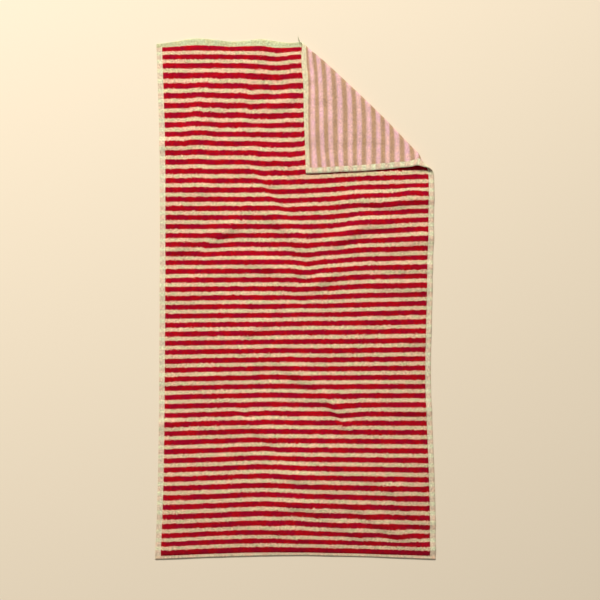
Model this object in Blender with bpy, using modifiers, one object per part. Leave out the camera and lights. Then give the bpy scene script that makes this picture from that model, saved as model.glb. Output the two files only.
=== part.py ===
"""Striped terry bath towel, laid face up with one corner turned over.

One woven cloth in one solid: pile in the middle, thinner woven selvages down
both sides and a turned hem at each end. Metres, +Z up, length along Y, and
the top end, which has the turned corner, towards +Y.

The cloth is drawn flat, on its back surface. Each point is laid out to the
towel's real outline, lifted where a crease runs, and carried round the fold
where it lies past the fold line. Solidify then gives the cloth its thickness,
on the side of the face.
"""

import math

import bmesh
import bpy
import numpy as np
from mathutils import Vector

# The cloth before it is laid
CLOTH_WIDTH = 0.760
CLOTH_LENGTH = 1.455
PILE_THICKNESS = 0.0032
WOVEN_THICKNESS = 0.0022
SELVAGE_BAND = 0.0150
TOP_HEM_BAND = 0.0160
BOTTOM_HEM_BAND = 0.0065
BAND_STEP = 0.0025

# Grid of the flat cloth, refined once where a crease runs
CELLS_ACROSS = 25
CELLS_ALONG = 48
REFINE_ABOVE = 0.0016

# The outline as it lies: each edge drawn in or let out by these knots
LEFT_EDGE = (  # y, x
    (-0.723, -0.3922), (-0.600, -0.3868), (-0.400, -0.3820), (-0.100, -0.3795),
    (0.250, -0.3785), (0.450, -0.3798), (0.620, -0.3853), (0.711, -0.3885),
)
RIGHT_EDGE = (  # y, x
    (-0.723, 0.3885), (-0.560, 0.3872), (-0.400, 0.3812), (-0.210, 0.3750),
    (-0.100, 0.3768), (0.000, 0.3795), (0.080, 0.3806), (0.160, 0.3832),
    (0.262, 0.3840), (0.330, 0.3842), (0.348, 0.3830), (0.362, 0.3790),
    (0.380, 0.3715), (0.400, 0.3690), (0.418, 0.3760), (0.436, 0.3812),
    (0.455, 0.3818), (0.530, 0.3826), (0.600, 0.3820), (0.683, 0.3848),
    (0.720, 0.3850),
)
BOTTOM_EDGE = (  # x, y
    (-0.390, -0.7230), (-0.184, -0.7155), (0.011, -0.7120), (0.200, -0.7160),
    (0.388, -0.7230),
)
TOP_EDGE = (  # x, y
    (-0.387, 0.7115), (-0.340, 0.7180), (-0.281, 0.7270), (-0.230, 0.7240),
    (-0.184, 0.7185), (-0.100, 0.7235), (-0.003, 0.7155), (0.020, 0.7185),
    (0.050, 0.7222), (0.168, 0.7202), (0.280, 0.7146), (0.385, 0.7130),
)

# The turned corner: fold line from the top hem to the right selvage, in cloth sizes
FOLD_FROM = (0.0172, 0.7245)
FOLD_TO = (0.3734, 0.3741)
FOLD_RADIUS_HEM = 0.0052
FOLD_RADIUS_SELVAGE = 0.0062
RADIUS_GROWTH = 1.5
FOLD_BOW = (  # share of the fold's length, how far the fold bulges outward there
    (0.00, 0.0014), (0.10, 0.0038), (0.18, 0.0072), (0.33, 0.0096), (0.48, 0.0112),
    (0.62, 0.0116), (0.72, 0.0106), (0.84, 0.0088), (0.90, 0.0076), (0.93, 0.0020),
    (0.96, 0.0004), (1.00, 0.0022),
)
BOW_REACH = 0.16  # how far back over the turned corner the bulge is felt
FOLD_SPRING = (  # share of the fold's length, how far the cloth springs up past the fold
    (0.80, 0.0), (0.86, 0.0008), (0.90, 0.0028), (0.93, 0.0042), (1.00, 0.0040),
)
SPRING_RUN = 0.010  # within what distance of the fold it has sprung up
SETTLE_HEM = 0.050  # how far from the fold the corner comes down to rest
SETTLE_SELVAGE = 0.095
LAYER_GAP = 0.0010  # between the two layers where the corner rests
ARC_CUTS = 9
CUT_SNAP = 1e-5
MERGE_WITHIN = 0.0014

# Creases: a soft ridge along each line, steeper on its near side, dying out at both ends.
# name, height, reach on the far (+Y) side, reach on the near side, line of (x, y)
CREASES = (
    ("drag below the corner", 0.0060, 0.040, 0.025,
     ((0.090, 0.268), (0.180, 0.284), (0.258, 0.266), (0.320, 0.284), (0.450, 0.276))),
    ("second drag", 0.0056, 0.036, 0.025,
     ((0.040, 0.140), (0.100, 0.155), (0.139, 0.173), (0.187, 0.212), (0.300, 0.212))),
    ("long slant, upper", 0.0036, 0.050, 0.044,
     ((-0.136, 0.760), (-0.132, 0.560), (-0.132, 0.420))),
    ("long slant, lower", 0.0058, 0.040, 0.024,
     ((-0.115, 0.310), (-0.067, 0.228), (-0.025, 0.193), (0.019, 0.139), (0.050, 0.095))),
    ("slant beside it", 0.0052, 0.036, 0.023,
     ((-0.200, 0.138), (-0.125, 0.103), (-0.061, 0.086), (-0.022, 0.050), (0.020, -0.012))),
    ("crossing dip", 0.0042, 0.032, 0.022,
     ((0.020, 0.012), (0.056, 0.039), (0.111, 0.078), (0.140, 0.110))),
    ("left tuck", 0.0050, 0.036, 0.022,
     ((-0.262, 0.163), (-0.214, 0.175), (-0.175, 0.203), (-0.150, 0.240))),
    ("tuck beside the left one", 0.0034, 0.034, 0.024,
     ((-0.390, 0.130), (-0.306, 0.148), (-0.250, 0.198))),
    ("middle tuck", 0.0040, 0.034, 0.023,
     ((-0.172, -0.112), (-0.125, -0.086), (-0.050, -0.048))),
    ("lower slant, upper", 0.0054, 0.040, 0.024,
     ((-0.080, -0.140), (-0.017, -0.195), (0.045, -0.234), (0.085, -0.262))),
    ("lower slant, lower", 0.0050, 0.036, 0.020,
     ((0.040, -0.256), (0.072, -0.273), (0.103, -0.295), (0.140, -0.335))),
    ("low tuck", 0.0046, 0.036, 0.022,
     ((-0.172, -0.326), (-0.109, -0.359), (-0.035, -0.415))),
    ("low tuck, middle", 0.0038, 0.036, 0.024,
     ((-0.070, -0.474), (0.011, -0.498), (0.090, -0.516))),
    ("low tuck, right", 0.0044, 0.032, 0.024,
     ((0.215, -0.511), (0.276, -0.528), (0.300, -0.560), (0.308, -0.615))),
    ("last slant", 0.0048, 0.034, 0.022,
     ((0.085, -0.560), (0.173, -0.576), (0.223, -0.618), (0.290, -0.658), (0.380, -0.680))),
    ("hem slant, right", 0.0040, 0.032, 0.022,
     ((0.080, -0.604), (0.148, -0.640), (0.225, -0.672))),
    ("hem slant, middle", 0.0040, 0.034, 0.022,
     ((-0.060, -0.562), (0.028, -0.576), (0.100, -0.610))),
    ("soft rise, top left", 0.0045, 0.056, 0.050,
     ((-0.216, 0.700), (-0.251, 0.526), (-0.292, 0.380))),
    ("short rise", 0.0040, 0.034, 0.026,
     ((-0.105, 0.509), (0.020, 0.576))),
    ("hem ripple", 0.0050, 0.034, 0.030,
     ((-0.098, 0.790), (-0.094, 0.640))),
    ("right edge ripple, upper", 0.0034, 0.034, 0.024,
     ((0.240, 0.160), (0.317, 0.164), (0.440, 0.176))),
    ("left edge ripple", 0.0040, 0.034, 0.026,
     ((-0.440, 0.430), (-0.305, 0.428))),
)
DYING_OUT = 0.36  # share of a crease's line, at each end, over which it dies out
CREASE_BLEND = 3.0  # power of the blend where creases meet: higher keeps only the taller

TERRY_RED = (0.36, 0.008, 0.016, 1.0)
TERRY_ROUGHNESS = 0.92


def clear_scene():
    """Remove what the file opened with."""
    for thing in list(bpy.data.objects):
        bpy.data.objects.remove(thing, do_unlink=True)
    for collection in list(bpy.data.collections):
        bpy.data.collections.remove(collection)


def along_knots(position, knots):
    """Smooth curve through the knots: a cubic between each two, slopes from their neighbours."""
    places = np.array([knot[0] for knot in knots])
    values = np.array([knot[1] for knot in knots])
    slopes = np.gradient(values, places)
    position = min(max(position, places[0]), places[-1])
    i = min(int(np.searchsorted(places, position, side="right")) - 1, len(places) - 2)
    span = places[i + 1] - places[i]
    r = (position - places[i]) / span
    start = (1 + 2 * r) * (1 - r) ** 2 * values[i] + r * (1 - r) ** 2 * span * slopes[i]
    end = r * r * (3 - 2 * r) * values[i + 1] + r * r * (r - 1) * span * slopes[i + 1]
    return float(start + end)


def lay_out(across, along):
    """Flat cloth point to its place in the towel's outline as it lies."""
    share_x = across / CLOTH_WIDTH + 0.5
    share_y = along / CLOTH_LENGTH + 0.5
    rough_y = BOTTOM_EDGE[0][1] + share_y * (TOP_EDGE[0][1] - BOTTOM_EDGE[0][1])
    left, right = along_knots(rough_y, LEFT_EDGE), along_knots(rough_y, RIGHT_EDGE)
    x = left + share_x * (right - left)
    low, high = along_knots(x, BOTTOM_EDGE), along_knots(x, TOP_EDGE)
    return Vector((x, low + share_y * (high - low)))


def ease_down(share):
    """One at 0, nothing from 1 on, level at both."""
    share = min(max(share, 0.0), 1.0)
    return (1 - share) ** 2 * (1 + 2 * share)


def ridge(x, y, height, far_reach, near_reach, line):
    """Height of one crease: full along the middle of its line, rounded off to its reach."""
    point = Vector((x, y))
    lengths = [(Vector(end) - Vector(start)).length for start, end in zip(line, line[1:])]
    best, passed = None, 0.0
    for start, end, length in zip(line, line[1:], lengths):
        start, end = Vector(start), Vector(end)
        share = min(max((point - start).dot(end - start) / length ** 2, 0.0), 1.0)
        offset = point - start.lerp(end, share)
        if best is None or offset.length < best.length:
            best, place = offset, (passed + share * length) / sum(lengths)
        passed += length
    share = best.length / (far_reach if best.y >= 0 else near_reach)
    if share >= 1:
        return 0.0
    alive = 1 - ease_down(min(place, 1 - place) / DYING_OUT)
    return height * alive * (1 - share * share) ** 2


def crease_height(x, y):
    """How far the cloth's back stands off the surface: the creases, blended where they meet."""
    total = sum(ridge(x, y, *crease[1:]) ** CREASE_BLEND for crease in CREASES)
    return total ** (1 / CREASE_BLEND)


class Fold:
    """The fold line as it lies, and how the cloth past it is carried over."""

    def __init__(self):
        self.start = lay_out(*FOLD_FROM)
        run = lay_out(*FOLD_TO) - self.start
        self.length = run.length
        self.tangent = run.normalized()
        self.outward = Vector((-self.tangent.y, self.tangent.x))

    def place(self, across, along):
        """Cloth point to its place in the room, on the cloth's back surface."""
        flat = lay_out(across, along)
        run = (flat - self.start).dot(self.tangent)
        share = min(max(run / self.length, 0.0), 1.0)
        bow = along_knots(share, FOLD_BOW)
        radius = FOLD_RADIUS_HEM + share ** RADIUS_GROWTH * (FOLD_RADIUS_SELVAGE - FOLD_RADIUS_HEM)
        turned = (flat - self.start).dot(self.outward) - bow + radius
        if turned <= 0:
            return Vector((flat.x, flat.y, crease_height(flat.x, flat.y)))
        base = self.start + run * self.tangent
        if turned < math.pi * radius:
            angle = turned / radius
            reach = bow - radius + radius * math.sin(angle)
            spot = base + reach * self.outward
            return Vector((spot.x, spot.y, radius * (1 - math.cos(angle))))
        beyond = turned - math.pi * radius
        reach = bow * (2 * ease_down(beyond / BOW_REACH) - 1) - radius - beyond
        spot = base + reach * self.outward
        settle = SETTLE_HEM + share * (SETTLE_SELVAGE - SETTLE_HEM)
        rest = crease_height(spot.x, spot.y) + 2 * PILE_THICKNESS + LAYER_GAP
        lift = (2 * radius - rest) * ease_down(beyond / settle)
        lift += along_knots(share, FOLD_SPRING) * (1 - ease_down(beyond / SPRING_RUN))
        return Vector((spot.x, spot.y, rest + lift))


def stations(length, low_band, high_band, cells):
    """Grid lines across one direction: each edge's band and its step, then even cells."""
    low, high = low_band - length / 2, length / 2 - high_band
    first, last = low + BAND_STEP, high - BAND_STEP
    even = [first + (last - first) * i / cells for i in range(cells + 1)]
    return [-length / 2, low] + even + [high, length / 2]


def flat_grid():
    """The flat cloth as one grid with lines at the bands, as a mesh in cloth sizes."""
    columns = stations(CLOTH_WIDTH, SELVAGE_BAND, SELVAGE_BAND, CELLS_ACROSS)
    rows = stations(CLOTH_LENGTH, BOTTOM_HEM_BAND, TOP_HEM_BAND, CELLS_ALONG)
    bm = bmesh.new()
    bmesh.ops.create_grid(
        bm, x_segments=len(columns) - 1, y_segments=len(rows) - 1, size=0.5
    )
    for vert in bm.verts:
        column = round((vert.co.x + 0.5) * (len(columns) - 1))
        row = round((vert.co.y + 0.5) * (len(rows) - 1))
        vert.co = Vector((columns[column], rows[row], 0.0))
    return bm


def refine_creases(bm):
    """Halve the cells that a crease runs through."""
    creased = {vert for vert in bm.verts if crease_height(*lay_out(*vert.co.xy)) > REFINE_ABOVE}
    edges = {edge for face in bm.faces if creased & set(face.verts) for edge in face.edges}
    edges = sorted(edges, key=lambda edge: edge.index)
    inner = [
        edge for edge in edges
        if all(abs(vert.co.x) < CLOTH_WIDTH / 2 - SELVAGE_BAND / 2 for vert in edge.verts)
    ]
    bmesh.ops.subdivide_edges(bm, edges=inner, cuts=1, use_grid_fill=True)


def cut_for_fold(bm):
    """Cut the flat cloth along lines beside the fold, so that it can turn smoothly."""
    start, end = Vector(FOLD_FROM), Vector(FOLD_TO)
    tangent = (end - start).normalized()
    outward = Vector((-tangent.y, tangent.x))
    first = -FOLD_RADIUS_SELVAGE
    last = (math.pi - 1) * FOLD_RADIUS_SELVAGE + max(bow for _, bow in FOLD_BOW)
    for i in range(ARC_CUTS + 1):
        spot = start + (first + (last - first) * i / ARC_CUTS) * outward
        bmesh.ops.bisect_plane(
            bm, geom=bm.verts[:] + bm.edges[:] + bm.faces[:], dist=CUT_SNAP,
            plane_co=spot.to_3d(), plane_no=outward.to_3d(),
        )
    bmesh.ops.remove_doubles(bm, verts=bm.verts[:], dist=MERGE_WITHIN)


def in_pile(across, along):
    """One over the pile, nothing on the thinner selvages and hems."""
    side = CLOTH_WIDTH / 2 - SELVAGE_BAND - BAND_STEP - abs(across)
    top = CLOTH_LENGTH / 2 - TOP_HEM_BAND - BAND_STEP - along
    bottom = CLOTH_LENGTH / 2 - BOTTOM_HEM_BAND - BAND_STEP + along
    return min(max(1 + min(side, top, bottom) / BAND_STEP, 0.0), 1.0)


def terry_material():
    """Cotton terry in the stripes' red."""
    material = bpy.data.materials.new("cotton_terry")
    material.use_nodes = True
    shader = material.node_tree.nodes["Principled BSDF"]
    shader.inputs["Base Color"].default_value = TERRY_RED
    shader.inputs["Roughness"].default_value = TERRY_ROUGHNESS
    shader.inputs["Metallic"].default_value = 0.0
    material.diffuse_color = TERRY_RED
    return material


def make_towel(collection):
    """The whole cloth, folded and given its thickness."""
    bm = flat_grid()
    refine_creases(bm)
    cut_for_fold(bm)
    bmesh.ops.triangulate(bm, faces=bm.faces[:], quad_method="SHORT_EDGE")
    bm.normal_update()
    fold = Fold()
    pile = [in_pile(*vert.co.xy) for vert in bm.verts]
    places = [fold.place(*vert.co.xy) for vert in bm.verts]
    low = Vector((min(spot.x for spot in places), min(spot.y for spot in places), 0.0))
    high = Vector((max(spot.x for spot in places), max(spot.y for spot in places), 0.0))
    for vert, spot in zip(bm.verts, places):
        vert.co = spot - (low + high) / 2
    mesh = bpy.data.meshes.new("towel")
    bm.to_mesh(mesh)
    bm.free()
    mesh.shade_smooth()

    towel = bpy.data.objects.new("towel", mesh)
    collection.objects.link(towel)
    towel.data.materials.append(terry_material())
    group = towel.vertex_groups.new(name="pile")
    for index, share in enumerate(pile):
        group.add([index], share, "REPLACE")
    shell = towel.modifiers.new("thickness", "SOLIDIFY")
    shell.thickness = PILE_THICKNESS
    shell.offset = 1.0
    shell.vertex_group = group.name
    shell.thickness_vertex_group = WOVEN_THICKNESS / PILE_THICKNESS
    return towel


def main():
    """Build the towel in a collection of its own."""
    clear_scene()
    collection = bpy.data.collections.new("bath_towel")
    bpy.context.scene.collection.children.link(collection)
    make_towel(collection)


main()
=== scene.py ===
"""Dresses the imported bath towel: striped terry with woven selvages, turned hems and their stitching.

The cloth is drawn flat, in metres across and along, and every point of it is carried to where it lies:
into the towel's outline, along the drags that bend its stripes, up over the creases, and round the fold
where a corner is turned over. The same few numbers set the solid that this cloth stands for, so the two
share one shape. Units are metres, +Z is up, and the towel's length lies along Y.
"""

import logging
from abc import ABC, abstractmethod
from dataclasses import dataclass
from enum import Enum
from math import copysign, pi

import bpy
import numpy as np
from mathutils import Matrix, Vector
from numpy.typing import NDArray


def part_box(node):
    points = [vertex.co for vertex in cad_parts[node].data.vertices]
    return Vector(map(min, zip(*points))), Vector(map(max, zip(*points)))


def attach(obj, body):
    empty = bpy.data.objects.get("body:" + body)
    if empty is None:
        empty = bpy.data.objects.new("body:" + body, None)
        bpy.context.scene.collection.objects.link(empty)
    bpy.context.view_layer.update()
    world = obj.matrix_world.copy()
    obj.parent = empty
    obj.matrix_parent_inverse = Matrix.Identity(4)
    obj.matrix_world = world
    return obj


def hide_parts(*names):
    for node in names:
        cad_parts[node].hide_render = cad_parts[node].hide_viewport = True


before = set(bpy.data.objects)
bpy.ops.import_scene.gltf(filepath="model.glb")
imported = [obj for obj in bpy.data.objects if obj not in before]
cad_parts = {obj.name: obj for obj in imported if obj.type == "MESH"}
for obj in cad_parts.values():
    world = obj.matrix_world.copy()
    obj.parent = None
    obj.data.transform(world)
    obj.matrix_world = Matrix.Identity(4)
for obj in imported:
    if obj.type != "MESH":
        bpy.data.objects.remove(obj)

Array = NDArray[np.float64]
Colour = tuple[float, float, float]
Knots = tuple[tuple[float, float], ...]
Socket = bpy.types.NodeSocket

LOG = logging.getLogger("bath_towel")
NODE = "towel"
CLOTH_MAP = "cloth"
# Mesh value carrying the painted shade and light of the patches on the face.
PAINTED_SHADE_AND_LIGHT_VALUE = "painted_shade_and_light"


class Layer(Enum):
    """The surfaces of the cloth that carry a finish of their own."""

    FACE_PILE = 0
    BACK_PILE = 1
    SELVAGE = 2
    TOP_HEM = 3
    FOOT_HEM = 4
    HEM_BACK = 5


def ease(share: Array) -> Array:
    """Rise from 0 to 1 as share goes from 0 to 1, level at both ends.

    Args:
        share: Where the rise stands, taken as 0 below 0 and as 1 above 1.

    Returns:
        3 s squared minus 2 s cubed.
    """
    share = np.clip(share, 0.0, 1.0)
    return share * share * (3.0 - 2.0 * share)


def unit(vectors: Array) -> Array:
    """Vectors on the last axis, each brought to a length of one."""
    return vectors / np.linalg.norm(vectors, axis=-1, keepdims=True)


def along_knots(position: Array, knots: Knots) -> Array:
    """Smooth curve through a few knots.

    Between two knots it is the cubic that meets both values, with the slope at each knot taken from the
    knots beside it.

    Args:
        position: Where the curve is wanted; past the end knots it stays at their values.
        knots: Pairs of a place and the value there, in rising order of place.

    Returns:
        The curve's value at each position.
    """
    places, values = np.array(knots).T
    slopes = np.gradient(values, places)
    position = np.clip(position, places[0], places[-1])
    left = np.clip(np.searchsorted(places, position, side="right") - 1, 0, len(places) - 2)
    span = places[left + 1] - places[left]
    r = (position - places[left]) / span
    start = (1 + 2 * r) * (1 - r) ** 2 * values[left] + r * (1 - r) ** 2 * span * slopes[left]
    end = r * r * (3 - 2 * r) * values[left + 1] + r * r * (r - 1) * span * slopes[left + 1]
    return start + end


def smooth_noise(across: Array, along: Array, pitch: float, seed: int) -> Array:
    """Soft random relief: random heights on a square lattice, eased between its corners.

    Args:
        across: First coordinate of each point, in metres.
        along: Second coordinate of each point, in metres.
        pitch: Distance between lattice points, in metres.
        seed: Seed of the lattice's heights.

    Returns:
        A value from -1 to 1 at each point.
    """
    cells = 512
    lattice = np.random.default_rng(seed).uniform(-1.0, 1.0, (cells, cells))
    x, y = across / pitch + cells / 2, along / pitch + cells / 2
    i, j = np.floor(x).astype(int), np.floor(y).astype(int)
    fx, fy = ease(x - i), ease(y - j)
    i, j = i % (cells - 1), j % (cells - 1)
    low = lattice[i, j] * (1 - fx) + lattice[i + 1, j] * fx
    high = lattice[i, j + 1] * (1 - fx) + lattice[i + 1, j + 1] * fx
    return low * (1 - fy) + high * fy


@dataclass(frozen=True)
class ClothSizes:
    """The cloth as it was woven and sewn, before it is laid."""

    width: float = 0.760
    length: float = 1.455
    pile: float = 0.0032
    woven: float = 0.0022
    selvage: float = 0.0150
    top_hem: float = 0.0160
    top_hem_back: float = 0.0084
    bottom_hem: float = 0.0065
    band_step: float = 0.0025
    band_lift: float = 0.0004

    @property
    def flat(self) -> tuple[float, float]:
        """Width and length of the flat cloth."""
        return self.width, self.length


@dataclass(frozen=True)
class StripePlan:
    """The woven stripes, counted from the top hem down."""

    count: int = 56
    first: float = 0.0235
    last: float = 0.0130

    def pitch(self, cloth: ClothSizes) -> float:
        """Distance from one red stripe's middle to the next in the flat cloth."""
        return (cloth.length - self.first - self.last) / (self.count - 1)


@dataclass(frozen=True)
class Crease:
    """A soft ridge along a line, steeper on its near side and dying out at both ends."""

    name: str
    height: float
    far_reach: float
    near_reach: float
    line: tuple[tuple[float, float], ...]
    dying_out: float = 0.36

    def rise(self, x: Array, y: Array) -> Array:
        """Height of the ridge at each point.

        The height is full on the line and falls as the square of one minus the squared share of the
        reach, on the side of the line where the point lies.

        Args:
            x: Places across the towel.
            y: Places along the towel.

        Returns:
            The height, nothing outside the ridge's reach.
        """
        spots = np.array(self.line)
        runs = np.diff(spots, axis=0)
        lengths = np.hypot(runs[:, 0], runs[:, 1])
        before = np.concatenate(([0.0], np.cumsum(lengths)[:-1]))
        distance = np.full(x.shape, np.inf)
        side, place = np.zeros(x.shape), np.zeros(x.shape)
        for spot, run, length, passed in zip(spots, runs, lengths, before):
            share = ((x - spot[0]) * run[0] + (y - spot[1]) * run[1]) / length**2
            share = np.clip(share, 0.0, 1.0)
            off_x = x - spot[0] - share * run[0]
            off_y = y - spot[1] - share * run[1]
            off = np.hypot(off_x, off_y)
            nearer = off < distance
            distance = np.where(nearer, off, distance)
            side = np.where(nearer, off_y, side)
            place = np.where(nearer, (passed + share * length) / lengths.sum(), place)
        share = distance / np.where(side >= 0, self.far_reach, self.near_reach)
        alive = ease(np.minimum(place, 1 - place) / self.dying_out)
        return np.where(share < 1, self.height * alive * (1 - np.minimum(share, 1) ** 2) ** 2, 0.0)


@dataclass(frozen=True)
class Pull:
    """A place where the cloth has been dragged along its length, which bends the stripes there."""

    name: str
    shift: float
    centre: tuple[float, float]
    reach: tuple[float, float]
    slant: float = 0.0

    def drag(self, x: Array, y: Array) -> Array:
        """Shift along Y: full in the middle, rounded off to nothing at the reach.

        Args:
            x: Places across the towel.
            y: Places along the towel.

        Returns:
            The shift at each point.
        """
        across = x - self.centre[0] - self.slant * (y - self.centre[1])
        share = (across / self.reach[0]) ** 2 + ((y - self.centre[1]) / self.reach[1]) ** 2
        return self.shift * (1 - np.minimum(share, 1.0)) ** 2


@dataclass(frozen=True)
class PaintedShadeAndLightPatch:
    """A broad patch of painted shade and light: the face's colour darkened where the tone is below nothing,
    lightened where it is above, standing in for pile leaning away from the light and towards it.
    """

    name: str
    tone: float
    centre: tuple[float, float]
    reach: tuple[float, float]

    def tint(self, x: Array, y: Array) -> Array:
        """Share of painted shade and light: full in the middle, rounded off to nothing at the reach; below
        nothing darkens, above lightens.
        """
        share = ((x - self.centre[0]) / self.reach[0]) ** 2 + ((y - self.centre[1]) / self.reach[1]) ** 2
        return self.tone * (1 - np.minimum(share, 1.0)) ** 2


@dataclass(frozen=True)
class Tuck:
    """A sharp step in the stripes: the cloth on the right of a line slid along the length."""

    name: str
    shift: float
    line: tuple[tuple[float, float], tuple[float, float]]
    sharpness: float
    fade: float
    dying_out: float = 0.40

    def drag(self, x: Array, y: Array) -> Array:
        """Shift along Y: a sharp rise at the line, a slow fade to its right, dying out at both ends.

        Args:
            x: Places across the towel.
            y: Places along the towel.

        Returns:
            The shift at each point.
        """
        start, run = np.array(self.line[0]), np.subtract(self.line[1], self.line[0])
        length = float(np.hypot(*run))
        along = ((x - start[0]) * run[0] + (y - start[1]) * run[1]) / length**2
        right = ((y - start[1]) * run[0] - (x - start[0]) * run[1]) / length
        alive = ease(along / self.dying_out) * ease((1 - along) / self.dying_out)
        step = ease(right / self.sharpness + 0.5) * (1 - ease(right / self.fade))
        return self.shift * alive * step


@dataclass(frozen=True)
class SideDrag:
    """One side of the towel drawn up or let down: a shift that grows towards that side."""

    name: str
    by_length: Knots
    by_width: Knots

    def drag(self, x: Array, y: Array) -> Array:
        """Shift along Y: what the length gives, times the share that the width gives."""
        return along_knots(y, self.by_length) * along_knots(x, self.by_width)


LEFT_EDGE: Knots = (
    (-0.723, -0.3922), (-0.600, -0.3868), (-0.400, -0.3820), (-0.100, -0.3795),
    (0.250, -0.3785), (0.450, -0.3798), (0.620, -0.3853), (0.711, -0.3885),
)
RIGHT_EDGE: Knots = (
    (-0.723, 0.3885), (-0.560, 0.3872), (-0.400, 0.3812), (-0.210, 0.3750),
    (-0.100, 0.3768), (0.000, 0.3795), (0.080, 0.3806), (0.160, 0.3832),
    (0.262, 0.3840), (0.330, 0.3842), (0.348, 0.3830), (0.362, 0.3790),
    (0.380, 0.3715), (0.400, 0.3690), (0.418, 0.3760), (0.436, 0.3812),
    (0.455, 0.3818), (0.530, 0.3826), (0.600, 0.3820), (0.683, 0.3848),
    (0.720, 0.3850),
)
BOTTOM_EDGE: Knots = (
    (-0.390, -0.7230), (-0.184, -0.7155), (0.011, -0.7120), (0.200, -0.7160),
    (0.388, -0.7230),
)
TOP_EDGE: Knots = (
    (-0.387, 0.7115), (-0.340, 0.7180), (-0.281, 0.7270), (-0.230, 0.7240),
    (-0.184, 0.7185), (-0.100, 0.7235), (-0.003, 0.7155), (0.020, 0.7185),
    (0.050, 0.7222), (0.168, 0.7202), (0.280, 0.7146), (0.385, 0.7130),
)

# How far along the laid towel each share of the flat length comes: the rows near
# the top stand wider apart, those round the middle closer.
LAID_LENGTH: Knots = (
    (0.0000, -0.7155), (0.0090, -0.6978), (0.0265, -0.6735), (0.0445, -0.6495), (0.0978, -0.5713),
    (0.2042, -0.4180), (0.3105, -0.2677), (0.4169, -0.1189), (0.5232, 0.0301), (0.6085, 0.1484),
    (0.6999, 0.2780), (0.7711, 0.3820), (0.8424, 0.4860), (0.9127, 0.5935), (0.9478, 0.6490),
    (0.9840, 0.6980), (1.0000, 0.7205),
)
# How far from a hem its own line still bends the rows.
EDGE_SETTLING = 0.020

SIDE_DRAGS = (
    SideDrag(
        "right side drawn up",
        by_length=(
            (-0.290, 0.0), (-0.240, 0.0010), (-0.145, 0.0046), (-0.050, 0.0083), (0.030, 0.0098),
            (0.104, 0.0130), (0.153, 0.0166), (0.200, 0.0190), (0.250, 0.0174), (0.304, 0.0127),
            (0.345, 0.0108), (0.370, 0.0112), (0.460, 0.0),
        ),
        by_width=(
            (0.020, 0.0), (0.064, 0.02), (0.097, 0.10), (0.131, 0.28), (0.164, 0.48),
            (0.198, 0.60), (0.250, 0.70), (0.298, 0.86), (0.345, 0.98), (0.385, 1.0),
        ),
    ),
    SideDrag(
        "drawn up under the turned corner",
        by_length=(
            (0.362, 0.0), (0.385, 0.0030), (0.418, 0.0078), (0.445, 0.0135), (0.470, 0.0165),
            (0.496, 0.0140), (0.522, 0.0113), (0.550, 0.0096), (0.575, 0.0062), (0.601, 0.0022),
            (0.628, -0.0008), (0.654, -0.0034), (0.700, -0.0055), (0.718, -0.0055),
        ),
        by_width=((0.018, 0.0), (0.050, 0.85), (0.070, 1.0)),
    ),
    SideDrag(
        "right side let down",
        by_length=(
            (-0.720, -0.0088), (-0.650, -0.0094), (-0.560, -0.0104), (-0.500, -0.0075),
            (-0.440, -0.0044), (-0.340, -0.0018), (-0.270, 0.0),
        ),
        by_width=((-0.030, 0.0), (0.060, 0.24), (0.200, 0.62), (0.385, 1.0)),
    ),
    SideDrag(
        "left side let down",
        by_length=(
            (-0.720, -0.0090), (-0.600, -0.0086), (-0.500, -0.0066), (-0.350, -0.0062),
            (-0.200, -0.0044), (-0.050, -0.0026), (0.060, -0.0022), (0.140, -0.0008), (0.200, 0.0),
        ),
        by_width=((-0.390, 1.0), (-0.337, 0.80), (-0.270, 0.45), (-0.220, 0.22), (-0.170, 0.0)),
    ),
)

PULLS = (
    Pull("pushed up beside the top rise", 0.0044, (-0.268, 0.460), (0.055, 0.200)),
    Pull("sunk behind the hem ripple", -0.0062, (-0.058, 0.665), (0.060, 0.190)),
    Pull("sunk along the long slant", -0.0030, (-0.118, 0.610), (0.045, 0.170)),
    Pull("sunk beside the long slant", -0.0042, (-0.045, 0.400), (0.085, 0.090)),
    Pull("sunk at the slant's foot", -0.0046, (0.028, 0.110), (0.048, 0.115)),
    Pull("pushed up past the middle", 0.0028, (0.045, -0.075), (0.150, 0.120)),
    Pull("pushed up beside the lower slant", 0.0020, (-0.050, -0.200), (0.110, 0.130)),
    Pull("pushed up before the kick", 0.0014, (0.108, -0.272), (0.055, 0.036)),
    Pull("pushed up between the low tucks", 0.0032, (-0.095, -0.480), (0.115, 0.300)),
    Pull("pushed up over the long slant", 0.0030, (-0.053, 0.382), (0.040, 0.062)),
    Pull("sunk in the top part", -0.0030, (-0.072, 0.498), (0.055, 0.042)),
    Pull("pushed up on the top rise", 0.0024, (-0.232, 0.556), (0.032, 0.060)),
    Pull("sunk beside the top rise", -0.0019, (-0.255, 0.378), (0.055, 0.090)),
    Pull("pushed up at the first drag's end", 0.0036, (0.322, 0.280), (0.050, 0.021)),
    Pull("sunk before the first drag's end", -0.0027, (0.225, 0.254), (0.070, 0.022)),
    Pull("pushed up below the second drag", 0.0019, (0.185, 0.078), (0.140, 0.095)),
    Pull("sunk over the last slant's end", -0.0036, (0.276, -0.652), (0.055, 0.036)),
    Pull("pushed up over the foot hem", 0.0023, (0.000, -0.622), (0.060, 0.052)),
)

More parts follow.
